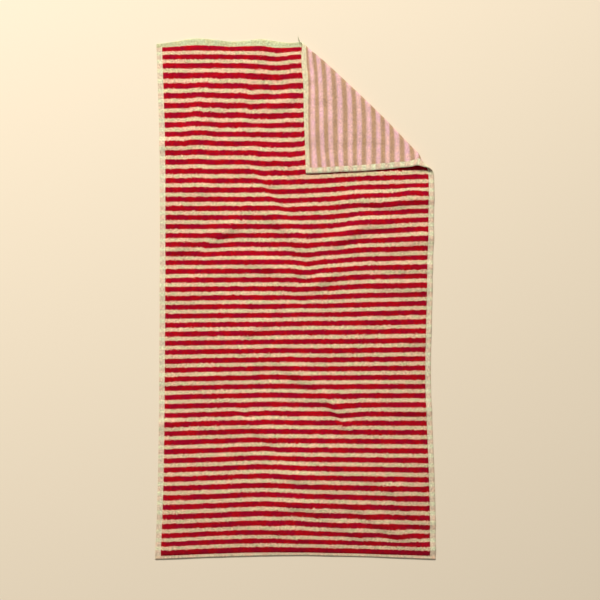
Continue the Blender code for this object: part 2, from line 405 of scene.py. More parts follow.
TUCKS = (
    Tuck("step across the long slant", -0.0050, ((-0.158, 0.415), (0.010, 0.190)), 0.024, 0.190),
    Tuck("step at the lower slant's end", -0.0058, ((0.066, -0.255), (0.150, -0.372)), 0.016, 0.090),
    Tuck("step of the low tuck", -0.0020, ((-0.120, -0.350), (-0.020, -0.470)), 0.020, 0.080),
    Tuck("step at the low tuck's head", -0.0028, ((-0.185, -0.275), (-0.105, -0.375)), 0.013, 0.060),
    Tuck("step of the left tuck", -0.0034, ((-0.185, 0.200), (-0.300, 0.112)), 0.014, 0.060),
    Tuck("step in the middle", -0.0026, ((-0.035, 0.035), (0.035, -0.035)), 0.013, 0.050),
    Tuck("step beside the top rise", -0.0030, ((-0.215, 0.665), (-0.300, 0.425)), 0.015, 0.050),
    Tuck("step at the long slant's head", -0.0022, ((-0.140, 0.670), (-0.130, 0.420)), 0.013, 0.060),
)

# Patches of painted shade and painted light on the face's colour: a tone below nothing darkens, above
# nothing lightens.
PAINTED_SHADE_AND_LIGHT_PATCHES = (
    PaintedShadeAndLightPatch("all along the foot", -0.09, (0.000, -0.720), (0.800, 0.280)),
    PaintedShadeAndLightPatch("all along the top", -0.05, (-0.120, 0.720), (0.600, 0.220)),
    PaintedShadeAndLightPatch("low right corner", -0.11, (0.345, -0.600), (0.170, 0.150)),
    PaintedShadeAndLightPatch("left of that corner", -0.06, (0.200, -0.580), (0.160, 0.160)),
    PaintedShadeAndLightPatch("right side, low", -0.07, (0.345, -0.300), (0.160, 0.400)),
    PaintedShadeAndLightPatch("right side, half way", -0.06, (0.310, 0.090), (0.140, 0.220)),
    PaintedShadeAndLightPatch("below the middle", 0.11, (-0.020, -0.360), (0.190, 0.180)),
    PaintedShadeAndLightPatch("over the foot", 0.06, (-0.060, -0.520), (0.210, 0.130)),
    PaintedShadeAndLightPatch("round the middle", 0.05, (-0.100, 0.000), (0.210, 0.170)),
    PaintedShadeAndLightPatch("left side, a third down", -0.06, (-0.345, 0.220), (0.100, 0.240)),
    PaintedShadeAndLightPatch("left side, a third up", -0.11, (-0.350, -0.190), (0.085, 0.085)),
    PaintedShadeAndLightPatch("left foot", -0.03, (-0.310, -0.660), (0.120, 0.070)),
    PaintedShadeAndLightPatch("beside the left side, a third down", -0.05, (-0.262, 0.240), (0.085, 0.170)),
    PaintedShadeAndLightPatch("middle, a third down", 0.04, (0.080, 0.130), (0.080, 0.070)),
    PaintedShadeAndLightPatch("top, beside the hem ripple", 0.04, (-0.215, 0.600), (0.110, 0.080)),
)

MAIN_CREASES = (
    Crease("drag below the corner", 0.0060, 0.040, 0.025,
           ((0.090, 0.268), (0.180, 0.284), (0.258, 0.266), (0.320, 0.284), (0.450, 0.276))),
    Crease("second drag", 0.0056, 0.036, 0.025,
           ((0.040, 0.140), (0.100, 0.155), (0.139, 0.173), (0.187, 0.212), (0.300, 0.212))),
    Crease("long slant, upper", 0.0036, 0.050, 0.044,
           ((-0.136, 0.760), (-0.132, 0.560), (-0.132, 0.420))),
    Crease("long slant, lower", 0.0058, 0.040, 0.024,
           ((-0.115, 0.310), (-0.067, 0.228), (-0.025, 0.193), (0.019, 0.139), (0.050, 0.095))),
    Crease("slant beside it", 0.0044, 0.036, 0.023,
           ((-0.200, 0.138), (-0.125, 0.103), (-0.061, 0.086), (-0.022, 0.050), (0.020, -0.012))),
    Crease("crossing dip", 0.0042, 0.032, 0.022,
           ((0.020, 0.012), (0.056, 0.039), (0.111, 0.078), (0.140, 0.110))),
    Crease("left tuck", 0.0050, 0.036, 0.022,
           ((-0.262, 0.163), (-0.214, 0.175), (-0.175, 0.203), (-0.150, 0.240))),
    Crease("tuck beside the left one", 0.0026, 0.034, 0.024,
           ((-0.390, 0.130), (-0.306, 0.148), (-0.250, 0.198))),
    Crease("middle tuck", 0.0040, 0.034, 0.023,
           ((-0.172, -0.112), (-0.125, -0.086), (-0.050, -0.048))),
    Crease("lower slant, upper", 0.0054, 0.040, 0.024,
           ((-0.080, -0.140), (-0.017, -0.195), (0.045, -0.234), (0.085, -0.262))),
    Crease("lower slant, lower", 0.0050, 0.036, 0.020,
           ((0.040, -0.256), (0.072, -0.273), (0.103, -0.295), (0.140, -0.335))),
    Crease("low tuck", 0.0046, 0.036, 0.022,
           ((-0.172, -0.326), (-0.109, -0.359), (-0.035, -0.415))),
    Crease("low tuck, middle", 0.0038, 0.036, 0.024,
           ((-0.070, -0.474), (0.011, -0.498), (0.090, -0.516))),
    Crease("low tuck, right", 0.0044, 0.032, 0.024,
           ((0.215, -0.511), (0.276, -0.528), (0.300, -0.560), (0.308, -0.615))),
    Crease("last slant", 0.0048, 0.034, 0.022,
           ((0.085, -0.560), (0.173, -0.576), (0.223, -0.618), (0.290, -0.658), (0.380, -0.680))),
    Crease("hem slant, right", 0.0040, 0.032, 0.022,
           ((0.080, -0.604), (0.148, -0.640), (0.225, -0.672))),
    Crease("hem slant, middle", 0.0040, 0.034, 0.022,
           ((-0.060, -0.562), (0.028, -0.576), (0.100, -0.610))),
    Crease("soft rise, top left", 0.0045, 0.056, 0.050,
           ((-0.216, 0.700), (-0.251, 0.526), (-0.292, 0.380))),
    Crease("short rise", 0.0040, 0.034, 0.026,
           ((-0.105, 0.509), (0.020, 0.576))),
    Crease("hem ripple", 0.0050, 0.034, 0.030,
           ((-0.098, 0.790), (-0.094, 0.640))),
    Crease("right edge ripple, upper", 0.0034, 0.034, 0.024,
           ((0.240, 0.160), (0.317, 0.164), (0.440, 0.176))),
    Crease("left edge ripple", 0.0040, 0.034, 0.026,
           ((-0.440, 0.430), (-0.305, 0.428))),
)

FINE_CREASES = (
    Crease("right edge ripple, middle", 0.0030, 0.030, 0.020, ((0.220, 0.086), (0.440, 0.089))),
    Crease("right edge ripple, lower", 0.0028, 0.030, 0.022,
           ((0.170, 0.036), (0.290, 0.037), (0.430, 0.030))),
    Crease("foot of the long slant", 0.0030, 0.026, 0.018,
           ((-0.020, 0.094), (0.020, 0.070), (0.050, 0.056))),
    Crease("tick below the middle tuck", 0.0032, 0.026, 0.018,
           ((-0.180, -0.110), (-0.156, -0.142), (-0.142, -0.175))),
    Crease("dot right of it", 0.0022, 0.024, 0.018, ((-0.095, -0.143), (-0.050, -0.152))),
    Crease("left edge, a third up", 0.0026, 0.030, 0.024, ((-0.430, -0.228), (-0.300, -0.228))),
    Crease("left edge, low", 0.0034, 0.030, 0.020, ((-0.440, -0.356), (-0.300, -0.346))),
    Crease("beside the left edge, a third up", 0.0024, 0.028, 0.022,
           ((-0.290, -0.216), (-0.190, -0.221))),
    Crease("beside the left edge, low", 0.0028, 0.028, 0.020, ((-0.280, -0.350), (-0.195, -0.362))),
    Crease("upright beside the low tuck", 0.0024, 0.026, 0.020,
           ((-0.159, -0.280), (-0.153, -0.360))),
    Crease("end of the lower slant", 0.0046, 0.024, 0.015,
           ((0.105, -0.344), (0.135, -0.350), (0.172, -0.366))),
    Crease("right side, a third up", 0.0030, 0.030, 0.020,
           ((0.235, -0.297), (0.303, -0.309), (0.420, -0.309))),
    Crease("right edge, half way", 0.0019, 0.036, 0.030,
           ((0.430, -0.060), (0.312, -0.109), (0.270, -0.138))),
    Crease("above the low right tuck", 0.0028, 0.028, 0.020, ((0.180, -0.496), (0.270, -0.503))),
    Crease("hem slant, left", 0.0032, 0.030, 0.022,
           ((-0.105, -0.604), (-0.053, -0.640), (0.040, -0.676))),
    Crease("low right corner, upper", 0.0028, 0.028, 0.022, ((0.290, -0.612), (0.430, -0.628))),
    Crease("low right corner", 0.0030, 0.026, 0.020, ((0.270, -0.680), (0.430, -0.700))),
    Crease("left edge, over half way", 0.0030, 0.044, 0.050, ((-0.450, 0.033), (-0.235, 0.020))),
    Crease("dash in the top part", 0.0032, 0.026, 0.018,
           ((-0.152, 0.490), (-0.120, 0.470), (-0.090, 0.450))),
    Crease("dash beside the corner", 0.0026, 0.024, 0.018, ((-0.100, 0.387), (-0.035, 0.387))),
    Crease("dash below it", 0.0024, 0.026, 0.018, ((-0.105, 0.322), (-0.010, 0.320))),
    Crease("tick beside the corner", 0.0026, 0.022, 0.018, ((-0.036, 0.415), (-0.020, 0.350))),
    Crease("tick under the hem", 0.0026, 0.024, 0.018, ((-0.125, 0.646), (-0.075, 0.612))),
    Crease("left part, a third down", 0.0026, 0.030, 0.022, ((-0.310, 0.318), (-0.225, 0.300))),
)
CREASES = MAIN_CREASES + FINE_CREASES
# Power to which heights are summed where creases meet: the greater it is, the more the tallest wins.
CREASE_BLEND = 3.0

# Height, spacing and stretch across the towel of each layer of the small soft lumps.
RUMPLES = ((0.00055, 0.017, 1.2), (0.0008, 0.028, 1.5), (0.0011, 0.050, 1.8))
RUMPLE_SEED = 41
# The lumps fade out this near the fold, and go down to a share of their height this near the outline.
RUMPLE_FADE = 0.045
EDGE_HOLD = 0.030
HELD_AT_EDGE = 0.25


def crease_height(x: Array, y: Array) -> Array:
    """Height of the creases over the surface, the taller winning where they meet."""
    total = sum(crease.rise(x, y) ** CREASE_BLEND for crease in CREASES)
    return total ** (1 / CREASE_BLEND)


def rumple_height(x: Array, y: Array, from_fold: Array) -> Array:
    """Height of the small lumps: soft noise of each size, held down at the outline and at the fold.

    Args:
        x: Places across the towel.
        y: Places along the towel.
        from_fold: How far each place lies on the flat side of the fold.

    Returns:
        The height, nothing at the fold and past it.
    """
    lumps = sum(
        height * (1 + smooth_noise(x / stretch, y, pitch, RUMPLE_SEED + n))
        for n, (height, pitch, stretch) in enumerate(RUMPLES)
    )
    side = np.minimum(x - along_knots(y, LEFT_EDGE), along_knots(y, RIGHT_EDGE) - x)
    end = np.minimum(y - along_knots(x, BOTTOM_EDGE), along_knots(x, TOP_EDGE) - y)
    held = HELD_AT_EDGE + (1 - HELD_AT_EDGE) * ease(np.minimum(side, end) / EDGE_HOLD)
    return lumps * held * ease(from_fold / RUMPLE_FADE)


@dataclass(frozen=True)
class LaidCloth:
    """The flat cloth laid out: outline, stretch along the length, and the drags in its stripes."""

    cloth: ClothSizes

    def drags(self, x: Array, y: Array) -> Array:
        """Sum of all shifts along Y at each place."""
        return sum(part.drag(x, y) for part in SIDE_DRAGS + PULLS + TUCKS)

    def place_across(self, across: Array, along: Array) -> Array:
        """Place across the laid towel: the same share of the way from the left edge to the right one.

        Args:
            across: Place across the flat cloth, from its middle.
            along: Place along the flat cloth, from its middle.

        Returns:
            The places across.
        """
        share_y = along / self.cloth.length + 0.5
        rough_y = BOTTOM_EDGE[0][1] + share_y * (TOP_EDGE[0][1] - BOTTOM_EDGE[0][1])
        left, right = along_knots(rough_y, LEFT_EDGE), along_knots(rough_y, RIGHT_EDGE)
        return left + (across / self.cloth.width + 0.5) * (right - left)

    def edge_point(self, spot: tuple[float, float]) -> tuple[float, float]:
        """Where a point at the cloth's edge lies in the outline, as the solid has it.

        Args:
            spot: Place across and along the flat cloth.

        Returns:
            The places across and along the laid towel.
        """
        x = self.place_across(np.array(spot[0]), np.array(spot[1]))
        low, high = along_knots(x, BOTTOM_EDGE), along_knots(x, TOP_EDGE)
        return float(x), float(low + (spot[1] / self.cloth.length + 0.5) * (high - low))

    def place(self, across: Array, along: Array) -> tuple[Array, Array]:
        """Place of each cloth point in the plane, before creases lift it and the fold turns it.

        The two side edges give the place across. Along the length a point lies where the stretch and
        the drags put its row, and near each hem it eases into the hem's own line.

        Args:
            across: Place across the flat cloth, from its middle.
            along: Place along the flat cloth, from its middle.

        Returns:
            The places across and along the laid towel.
        """
        x = self.place_across(across, along)
        row = along_knots(along / self.cloth.length + 0.5, LAID_LENGTH)
        y = row + self.drags(x, row)
        bottom, top = LAID_LENGTH[0][1], LAID_LENGTH[-1][1]
        top_miss = along_knots(x, TOP_EDGE) - top - self.drags(x, np.full_like(x, top))
        bottom_miss = along_knots(x, BOTTOM_EDGE) - bottom - self.drags(x, np.full_like(x, bottom))
        y = y + top_miss * np.exp((row - top) / EDGE_SETTLING)
        y = y + bottom_miss * np.exp((bottom - row) / EDGE_SETTLING)
        return x, y


@dataclass(frozen=True)
class TurnedCorner:
    """The fold that turns one corner over, and how the cloth past it is carried."""

    cloth: ClothSizes
    fold_from: tuple[float, float] = (0.0172, 0.7245)
    fold_to: tuple[float, float] = (0.3734, 0.3741)
    radius_hem: float = 0.0052
    radius_selvage: float = 0.0062
    radius_growth: float = 1.5
    bow: Knots = (
        (0.00, 0.0014), (0.10, 0.0038), (0.18, 0.0072), (0.33, 0.0096), (0.48, 0.0112), (0.62, 0.0116),
        (0.72, 0.0106), (0.84, 0.0088), (0.90, 0.0076), (0.93, 0.0020), (0.96, 0.0004), (1.00, 0.0022),
    )
    bow_reach: float = 0.16
    spring: Knots = ((0.80, 0.0), (0.86, 0.0008), (0.90, 0.0028), (0.93, 0.0042), (1.00, 0.0040))
    spring_run: float = 0.010
    lean: float = 0.075
    lean_level: float = 0.462
    lean_reach: float = 0.060
    lean_from_hem: float = 0.055
    lean_until: tuple[float, float] = (0.88, 0.98)
    settle_hem: float = 0.050
    settle_selvage: float = 0.095
    layer_gap: float = 0.0010

    def place(self, laid: LaidCloth, across: Array, along: Array) -> Array:
        """Place of the cloth's back surface.

        Short of the fold line the back lies on the surface and its creases. Round the fold it follows
        a half circle whose radius grows towards the selvage. Past it the cloth runs back over itself
        and comes down to rest a little above the face below; near the selvage it springs up first. The
        turned cloth also slides sideways in its own surface, so that its rows stand upright.

        Args:
            laid: The laid-out cloth.
            across: Place across the flat cloth.
            along: Place along the flat cloth.

        Returns:
            Points, with x, y and z on the last axis.
        """
        start = np.array(laid.edge_point(self.fold_from))
        run = np.array(laid.edge_point(self.fold_to)) - start
        length = float(np.hypot(*run))
        tangent = run / length
        outward = np.array((-tangent[1], tangent[0]))
        x, y = laid.place(across, along)
        travel = (x - start[0]) * tangent[0] + (y - start[1]) * tangent[1]
        share = np.clip(travel / length, 0.0, 1.0)
        bow = along_knots(share, self.bow)
        growth = share**self.radius_growth
        radius = self.radius_hem + growth * (self.radius_selvage - self.radius_hem)
        past = (x - start[0]) * outward[0] + (y - start[1]) * outward[1]
        turned = past - bow + radius

        angle = np.clip(turned / radius, 0.0, pi)
        beyond = np.maximum(turned - pi * radius, 0.0)
        reach_arc = bow - radius + radius * np.sin(angle)
        reach_over = bow * (1 - 2 * ease(beyond / self.bow_reach)) - radius - beyond
        reach = np.where(beyond > 0, reach_over, reach_arc)
        over_x = start[0] + travel * tangent[0] + reach * outward[0]
        over_y = start[1] + travel * tangent[1] + reach * outward[1]
        sideways = self._sideways(over_y, share, along) * angle / pi
        over_x = over_x + sideways
        over_y = over_y - sideways * (1 - ease(beyond / self.lean_reach))
        below = crease_height(over_x, over_y) + rumple_height(over_x, over_y, bow - radius - reach)
        rest = below + 2 * self.cloth.pile + self.layer_gap
        settle = self.settle_hem + share * (self.settle_selvage - self.settle_hem)
        sprung = along_knots(share, self.spring) * ease(beyond / self.spring_run)
        lifted = rest + (2 * radius - rest) * (1 - ease(beyond / settle)) + sprung
        arc_z = radius * (1 - np.cos(angle))

        flat = turned <= 0
        out_x = np.where(flat, x, over_x)
        out_y = np.where(flat, y, over_y)
        on_surface = crease_height(x, y) + rumple_height(x, y, -turned)
        out_z = np.where(flat, on_surface, np.where(beyond > 0, lifted, arc_z))
        return np.stack((out_x, out_y, out_z), axis=-1)

    def _sideways(self, y: Array, share: Array, along: Array) -> Array:
        """How far the turned cloth slides across, which stands its rows upright.

        It grows with the distance from one level of the towel, and dies out at the hem and at the tip.

        Args:
            y: Place along the laid towel.
            share: Share of the fold line passed, from the hem on.
            along: Place along the flat cloth.

        Returns:
            The slide to the right.
        """
        from_hem = ease((self.cloth.length / 2 - along) / self.lean_from_hem)
        low, high = self.lean_until
        before_tip = 1 - ease((share - low) / (high - low))
        return self.lean * (self.lean_level - y) * from_hem * before_tip


@dataclass(frozen=True)
class GridPlan:
    """Where the cloth's grid lines run: narrow cells in the bands and round the turned corner."""

    cloth: ClothSizes
    broad_cell: float = 0.0058
    fine_cell: float = 0.0039
    fine_right_of: float = 0.010
    fine_above: float = 0.360
    band_cells: int = 3
    step_cells: int = 2

    def lines(self, size: float, bands: tuple[float, float], fine_from: float) -> Array:
        """Grid lines across one direction of the cloth.

        Each stretch between two stops is cut into equal cells: the band, the step up to the pile, broad
        cells as far as the fine part, fine cells, and the same step and band again.

        Args:
            size: The cloth's size in this direction.
            bands: Width of the woven band at the low end and at the high end.
            fine_from: Where the fine cells start.

        Returns:
            The lines' places, from minus half the size to half the size.
        """
        edge, step = size / 2, self.cloth.band_step
        low, high = bands[0] - edge, edge - bands[1]
        stops = (-edge, low, low + step, fine_from, high - step, high, edge)
        broad = round((stops[3] - stops[2]) / self.broad_cell)
        fine = round((stops[4] - stops[3]) / self.fine_cell)
        counts = (self.band_cells, self.step_cells, broad, fine, self.step_cells, self.band_cells)
        stretches = [np.linspace(a, b, n, endpoint=False) for a, b, n in zip(stops, stops[1:], counts)]
        return np.concatenate((*stretches, (edge,)))

    def points(self) -> tuple[Array, Array]:
        """Where the grid's lines cross.

        Returns:
            Places across and along of every grid point, one row for each step along the cloth.
        """
        cloth = self.cloth
        across = self.lines(cloth.width, (cloth.selvage, cloth.selvage), self.fine_right_of)
        along = self.lines(cloth.length, (cloth.bottom_hem, cloth.top_hem), self.fine_above)
        return tuple(np.meshgrid(across, along))


@dataclass(frozen=True)
class ClothShell:
    """The laid cloth as a body of two skins: its back, its thickness and the unevenness of its pile."""

    cloth: ClothSizes
    laid: LaidCloth
    corner: TurnedCorner
    shift: tuple[float, float] = (0.0, 0.0)
    probe: float = 0.0005
    unevenness: tuple[tuple[float, float], ...] = ((0.00022, 0.014), (0.00016, 0.031))
    seed: int = 11

    def inside(self, across: Array, along: Array, top_hem: float) -> Array:
        """How far a cloth point lies inside the pile; below nothing in the woven bands."""
        from_selvage = self.cloth.width / 2 - np.abs(across) - self.cloth.selvage
        return np.minimum(from_selvage, self.from_hems(along, top_hem))

    def from_hems(self, along: Array, top_hem: float) -> Array:
        """How far a cloth point lies from the nearer hem; below nothing in the hems."""
        cloth = self.cloth
        return np.minimum(cloth.length / 2 - along - top_hem, cloth.length / 2 + along - cloth.bottom_hem)

    def back(self, across: Array, along: Array) -> Array:
        """Place of the back surface in the part's own frame."""
        return self.corner.place(self.laid, across, along) + np.array((*self.shift, 0.0))

    def normal(self, across: Array, along: Array) -> Array:
        """Direction out of the face: the cross product of two short steps over the back surface.

        Args:
            across: Place across the flat cloth.
            along: Place along the flat cloth.

        Returns:
            Unit vectors.
        """
        step = self.probe
        right = self.back(across + step, along) - self.back(across - step, along)
        up = self.back(across, along + step) - self.back(across, along - step)
        return unit(np.cross(right, up))

    def skins(self, across: Array, along: Array) -> tuple[Array, Array]:
        """Both surfaces of the cloth.

        The face stands off the back along the normal by the woven thickness in the bands and by the
        pile's inside them. Soft noise raises the pile on the face and sinks it on the back, and the
        bands' back stands a little above the pile's.

        Args:
            across: Place across the flat cloth.
            along: Place along the flat cloth.

        Returns:
            Points of the back and of the face.
        """
        cloth = self.cloth
        face_share = ease(self.inside(across, along, cloth.top_hem) / cloth.band_step)
        back_share = ease(self.inside(across, along, cloth.top_hem_back) / cloth.band_step)
        face_relief, back_relief = (self._relief(across, along, seed) for seed in (0, len(self.unevenness)))
        lift = cloth.woven + (cloth.pile - cloth.woven + face_relief) * face_share
        sink = cloth.band_lift + (back_relief - cloth.band_lift) * back_share
        back, normal = self.back(across, along), self.normal(across, along)
        return back + sink[..., None] * normal, back + lift[..., None] * normal

    def _relief(self, across: Array, along: Array, seed: int) -> Array:
        """Unevenness of the pile: soft noise at each pitch, from nothing up to twice its amplitude.

        Args:
            across: Place across the flat cloth.
            along: Place along the flat cloth.
            seed: What sets one side's noise apart from the other's.

        Returns:
            Heights to add to the pile.
        """
        return sum(
            size * (1 + smooth_noise(across, along, pitch, self.seed + seed + n))
            for n, (size, pitch) in enumerate(self.unevenness)
        )


def mesh_object(
    name: str, points: Array, faces: Array, materials: list[bpy.types.Material]
) -> bpy.types.Object:
    """Put a finished surface into a mesh object at the origin, smooth all over.

    Args:
        name: The piece's name.
        points: One row of x, y and z for each vertex.
        faces: One row of vertex numbers for each face, all with the same count of corners.
        materials: The materials that the faces may use.

    Returns:
        The object, linked to the scene.
    """
    mesh = bpy.data.meshes.new(name)
    corners = faces.shape[1]
    mesh.vertices.add(len(points))
    mesh.vertices.foreach_set("co", points.ravel())
    mesh.loops.add(faces.size)
    mesh.loops.foreach_set("vertex_index", faces.ravel().astype(np.int32))
    mesh.polygons.add(len(faces))
    mesh.polygons.foreach_set("loop_start", np.arange(0, faces.size, corners, dtype=np.int32))
    mesh.polygons.foreach_set("use_smooth", np.ones(len(faces), dtype=bool))
    mesh.update(calc_edges=True)
    for material in materials:
        mesh.materials.append(material)
    piece = bpy.data.objects.new(name, mesh)
    bpy.context.scene.collection.objects.link(piece)
    return piece


def add_map(piece: bpy.types.Object, places: Array) -> None:
    """Give a piece its cloth map: the flat cloth's places in metres, from the bottom left corner.

    Args:
        piece: The mesh object.
        places: The place across and along for each vertex.
    """
    mesh = piece.data
    corners = np.empty(len(mesh.loops), dtype=np.int32)
    mesh.loops.foreach_get("vertex_index", corners)
    mesh.uv_layers.new(name=CLOTH_MAP).uv.foreach_set("vector", places[corners].ravel())


def rim_numbers(rows: int, columns: int) -> NDArray[np.int64]:
    """Numbers of a grid's outer points, once round anticlockwise from the first."""
    grid = np.arange(rows * columns).reshape(rows, columns)
    return np.concatenate((grid[0], grid[1:, -1], grid[-1, -2::-1], grid[-2:0:-1, 0]))


def grid_faces(rows: int, columns: int) -> NDArray[np.int64]:
    """Four-cornered faces of a grid of points, anticlockwise where rows run up and columns right.

    Args:
        rows: How many rows of points there are.
        columns: How many points a row has.

    Returns:
        Four point numbers for each face.
    """
    grid = np.arange(rows * columns).reshape(rows, columns)
    corners = (grid[:-1, :-1], grid[:-1, 1:], grid[1:, 1:], grid[1:, :-1])
    return np.stack(corners, axis=-1).reshape(-1, 4)


@dataclass(frozen=True)
class TowelCloth:
    """The towel itself: one closed skin in striped terry, with woven bands round its edge."""

    shell: ClothShell
    grid: GridPlan
    edge_bulge: float = 0.0006

    def build(self, finishes: dict[Layer, bpy.types.Material]) -> bpy.types.Object:
        """Make the towel's mesh and give each layer its finish.

        Face and back are the shell's two skins on the same grid. A ring of points runs between their
        rims, halfway and a little outwards, so that the edge is round. The mesh carries the flat cloth
        as its map and, on its face, the sum of the patches' painted shade and light.

        Args:
            finishes: The material of each layer.

        Returns:
            The towel's object.
        """
        across, along = self.grid.points()
        rows, columns = across.shape
        back, face = (skin.reshape(-1, 3) for skin in self.shell.skins(across, along))
        rim = rim_numbers(rows, columns)
        middle = (back[rim] + face[rim]) / 2 + self.edge_bulge * self._outward(across, along, rim)
        points = np.concatenate((face, back, middle))

        cells = grid_faces(rows, columns)
        count = rows * columns
        rim_after = np.roll(rim, -1)
        ring = 2 * count + np.arange(len(rim))
        ring_after = np.roll(ring, -1)
        upper = np.stack((ring, ring_after, rim_after, rim), axis=-1)
        lower = np.stack((rim + count, rim_after + count, ring_after, ring), axis=-1)
        faces = np.concatenate((cells, cells[:, ::-1] + count, upper, lower))

        towel = mesh_object("towel_cloth", points, faces, [finishes[layer] for layer in Layer])
        layers = self._layers(across, along, len(faces))
        towel.data.polygons.foreach_set("material_index", layers.astype(np.int32))
        cloth = self.shell.cloth
        flat = np.stack((across + cloth.width / 2, along + cloth.length / 2), axis=-1).reshape(-1, 2)
        add_map(towel, np.concatenate((flat, flat, flat[rim])))
        laid = self.shell.laid.place(across, along)
        # Painted shade and light: each face point's sum of the patches' tones, read by the face terry's
        # colour.
        lean = np.zeros(len(points))
        lean[:count] = sum(patch.tint(*laid) for patch in PAINTED_SHADE_AND_LIGHT_PATCHES).ravel()
        towel.data.attributes.new(PAINTED_SHADE_AND_LIGHT_VALUE, "FLOAT", "POINT").data.foreach_set("value", lean)
        return towel

    def _layers(self, across: Array, along: Array, face_count: int) -> NDArray[np.int64]:
        """Number of each face's layer, told by where the face's middle lies in the flat cloth.

        Args:
            across: Places of the grid across the flat cloth.
            along: Places of the grid along it.
            face_count: How many faces the towel has: the face's cells, the back's, and the edge's.

        Returns:
            The layers' numbers; the edge takes the selvage's.
        """
        cloth = self.shell.cloth
        middle_x = ((across[:-1, :-1] + across[1:, 1:]) / 2).ravel()
        middle_y = ((along[:-1, :-1] + along[1:, 1:]) / 2).ravel()
        cells = len(middle_x)
        layers = np.full(face_count, Layer.SELVAGE.value)
        for first, top_hem, pile, hems in (
            (0, cloth.top_hem, Layer.FACE_PILE, (Layer.FOOT_HEM, Layer.TOP_HEM)),
            (cells, cloth.top_hem_back, Layer.BACK_PILE, (Layer.HEM_BACK, Layer.HEM_BACK)),
        ):
            side = layers[first : first + cells]
            side[self.shell.inside(middle_x, middle_y, top_hem) > 0] = pile.value
            in_hem = self.shell.from_hems(middle_y, top_hem) < 0
            side[in_hem & (middle_y < 0)] = hems[0].value
            side[in_hem & (middle_y > 0)] = hems[1].value
        return layers

    def _outward(self, across: Array, along: Array, rim: NDArray[np.int64]) -> Array:
        """Directions out of the cloth at its rim, along its own surface.

        Args:
            across: Places of the grid across the flat cloth.
            along: Places of the grid along it.
            rim: Numbers of the rim's points.

        Returns:
            Unit vectors, one for each point of the rim.
        """
        step = self.shell.probe
        x, y = across.ravel()[rim], along.ravel()[rim]
        inner_x = x - np.sign(x) * step * (np.abs(x) >= across.max())
        inner_y = y - np.sign(y) * step * (np.abs(y) >= along.max())
        return unit(self.shell.back(x, y) - self.shell.back(inner_x, inner_y))


def spindle_faces(rings: int, sides: int) -> NDArray[np.int64]:
    """Triangles of a closed thread: end point, rings of points, end point, numbered in that order.

    Args:
        rings: How many rings there are.
        sides: How many points a ring has.

    Returns:
        Three point numbers for each face: a fan at each end, and two triangles to each side between rings.
    """
    turn = np.arange(sides)
    after = (turn + 1) % sides
    first, last = np.zeros(sides, dtype=int), np.full(sides, rings * sides + 1)
    low = 1 + np.arange(rings - 1)[:, None] * sides
    a, b = (low + turn).ravel(), (low + after).ravel()
    final = 1 + (rings - 1) * sides
    return np.concatenate((
        np.stack((first, 1 + after, 1 + turn), axis=-1),
        np.stack((a, b, b + sides), axis=-1),
        np.stack((a, b + sides, a + sides), axis=-1),
        np.stack((last, final + turn, final + after), axis=-1),
    ))


def thread_points(line: Array, beside: Array, up: Array, radius: Array, sides: int) -> Array:
    """Points of closed threads: the first point of each line, a ring round each one between, the last.

    A ring's point is the line's point, plus the radius times the cosine of its turn beside the line
    and the sine of its turn above it.

    Args:
        line: Points along each thread, on the last two axes.
        beside: Unit step to the side at each point.
        up: Unit step above each point.
        radius: The thread's radius at each point but the end ones.
        sides: How many points a ring has.

    Returns:
        The points of each thread, in the order that spindle_faces takes.
    """
    turn = (np.arange(sides) * 2 * pi / sides)[:, None]
    inner = (..., slice(1, -1), None, slice(None))
    spoke = np.cos(turn) * beside[inner] + np.sin(turn) * up[inner]
    rings = (line[inner] + radius[..., None, None] * spoke).reshape(*line.shape[:-2], -1, 3)
    return np.concatenate((line[..., :1, :], rings, line[..., -1:, :]), axis=-2)


@dataclass(frozen=True)
class HemStitches:
    """One row of machine stitches along a hem, on one side of the cloth."""

    shell: ClothShell
    name: str
    hem_edge: float
    on_face: bool
    into_hem: float = 0.0016
    pitch: float = 0.0030
    stitch: float = 0.0025
    thread: float = 0.00034
    arch: float = 0.00040
    sunk: float = 0.00012
    end_margin: float = 0.0030
    stations: int = 4
    sides: int = 6

    def build(self, material: bpy.types.Material) -> bpy.types.Object:
        """Lay the stitches end to end, a little out from the hem's inner edge, each arched over the cloth.

        A stitch is a row of rings between two end points; the rings' radius is the thread's times the
        root of one minus the squared share of the way out, and their middles follow a parabola.

        Args:
            material: The thread's material.

        Returns:
            The row of stitches.
        """
        reach = self.shell.cloth.width / 2 - self.end_margin
        count = int(2 * reach / self.pitch)
        middles = np.linspace(-reach, reach, count)[:, None]
        out = np.linspace(-1.0, 1.0, self.stations + 2)[None, :]
        across = middles + out * self.stitch / 2
        along = np.full_like(across, self.hem_edge + copysign(self.into_hem, self.hem_edge))
        surface = self.shell.skins(across, along)[int(self.on_face)]
        up = self.shell.normal(across, along) * (1 if self.on_face else -1)
        run = np.gradient(surface, axis=1)
        lines = surface + (self.arch * (1 - out**2) - self.sunk)[..., None] * up
        radius = self.thread * np.sqrt(1 - out[:, 1:-1] ** 2)
        points = thread_points(lines, unit(np.cross(up, run)), up, radius, self.sides)
        faces = spindle_faces(self.stations, self.sides)
        each = points.shape[1]
        every = (faces[None] + each * np.arange(count)[:, None, None]).reshape(-1, 3)
        return mesh_object(self.name, points.reshape(-1, 3), every, [material])


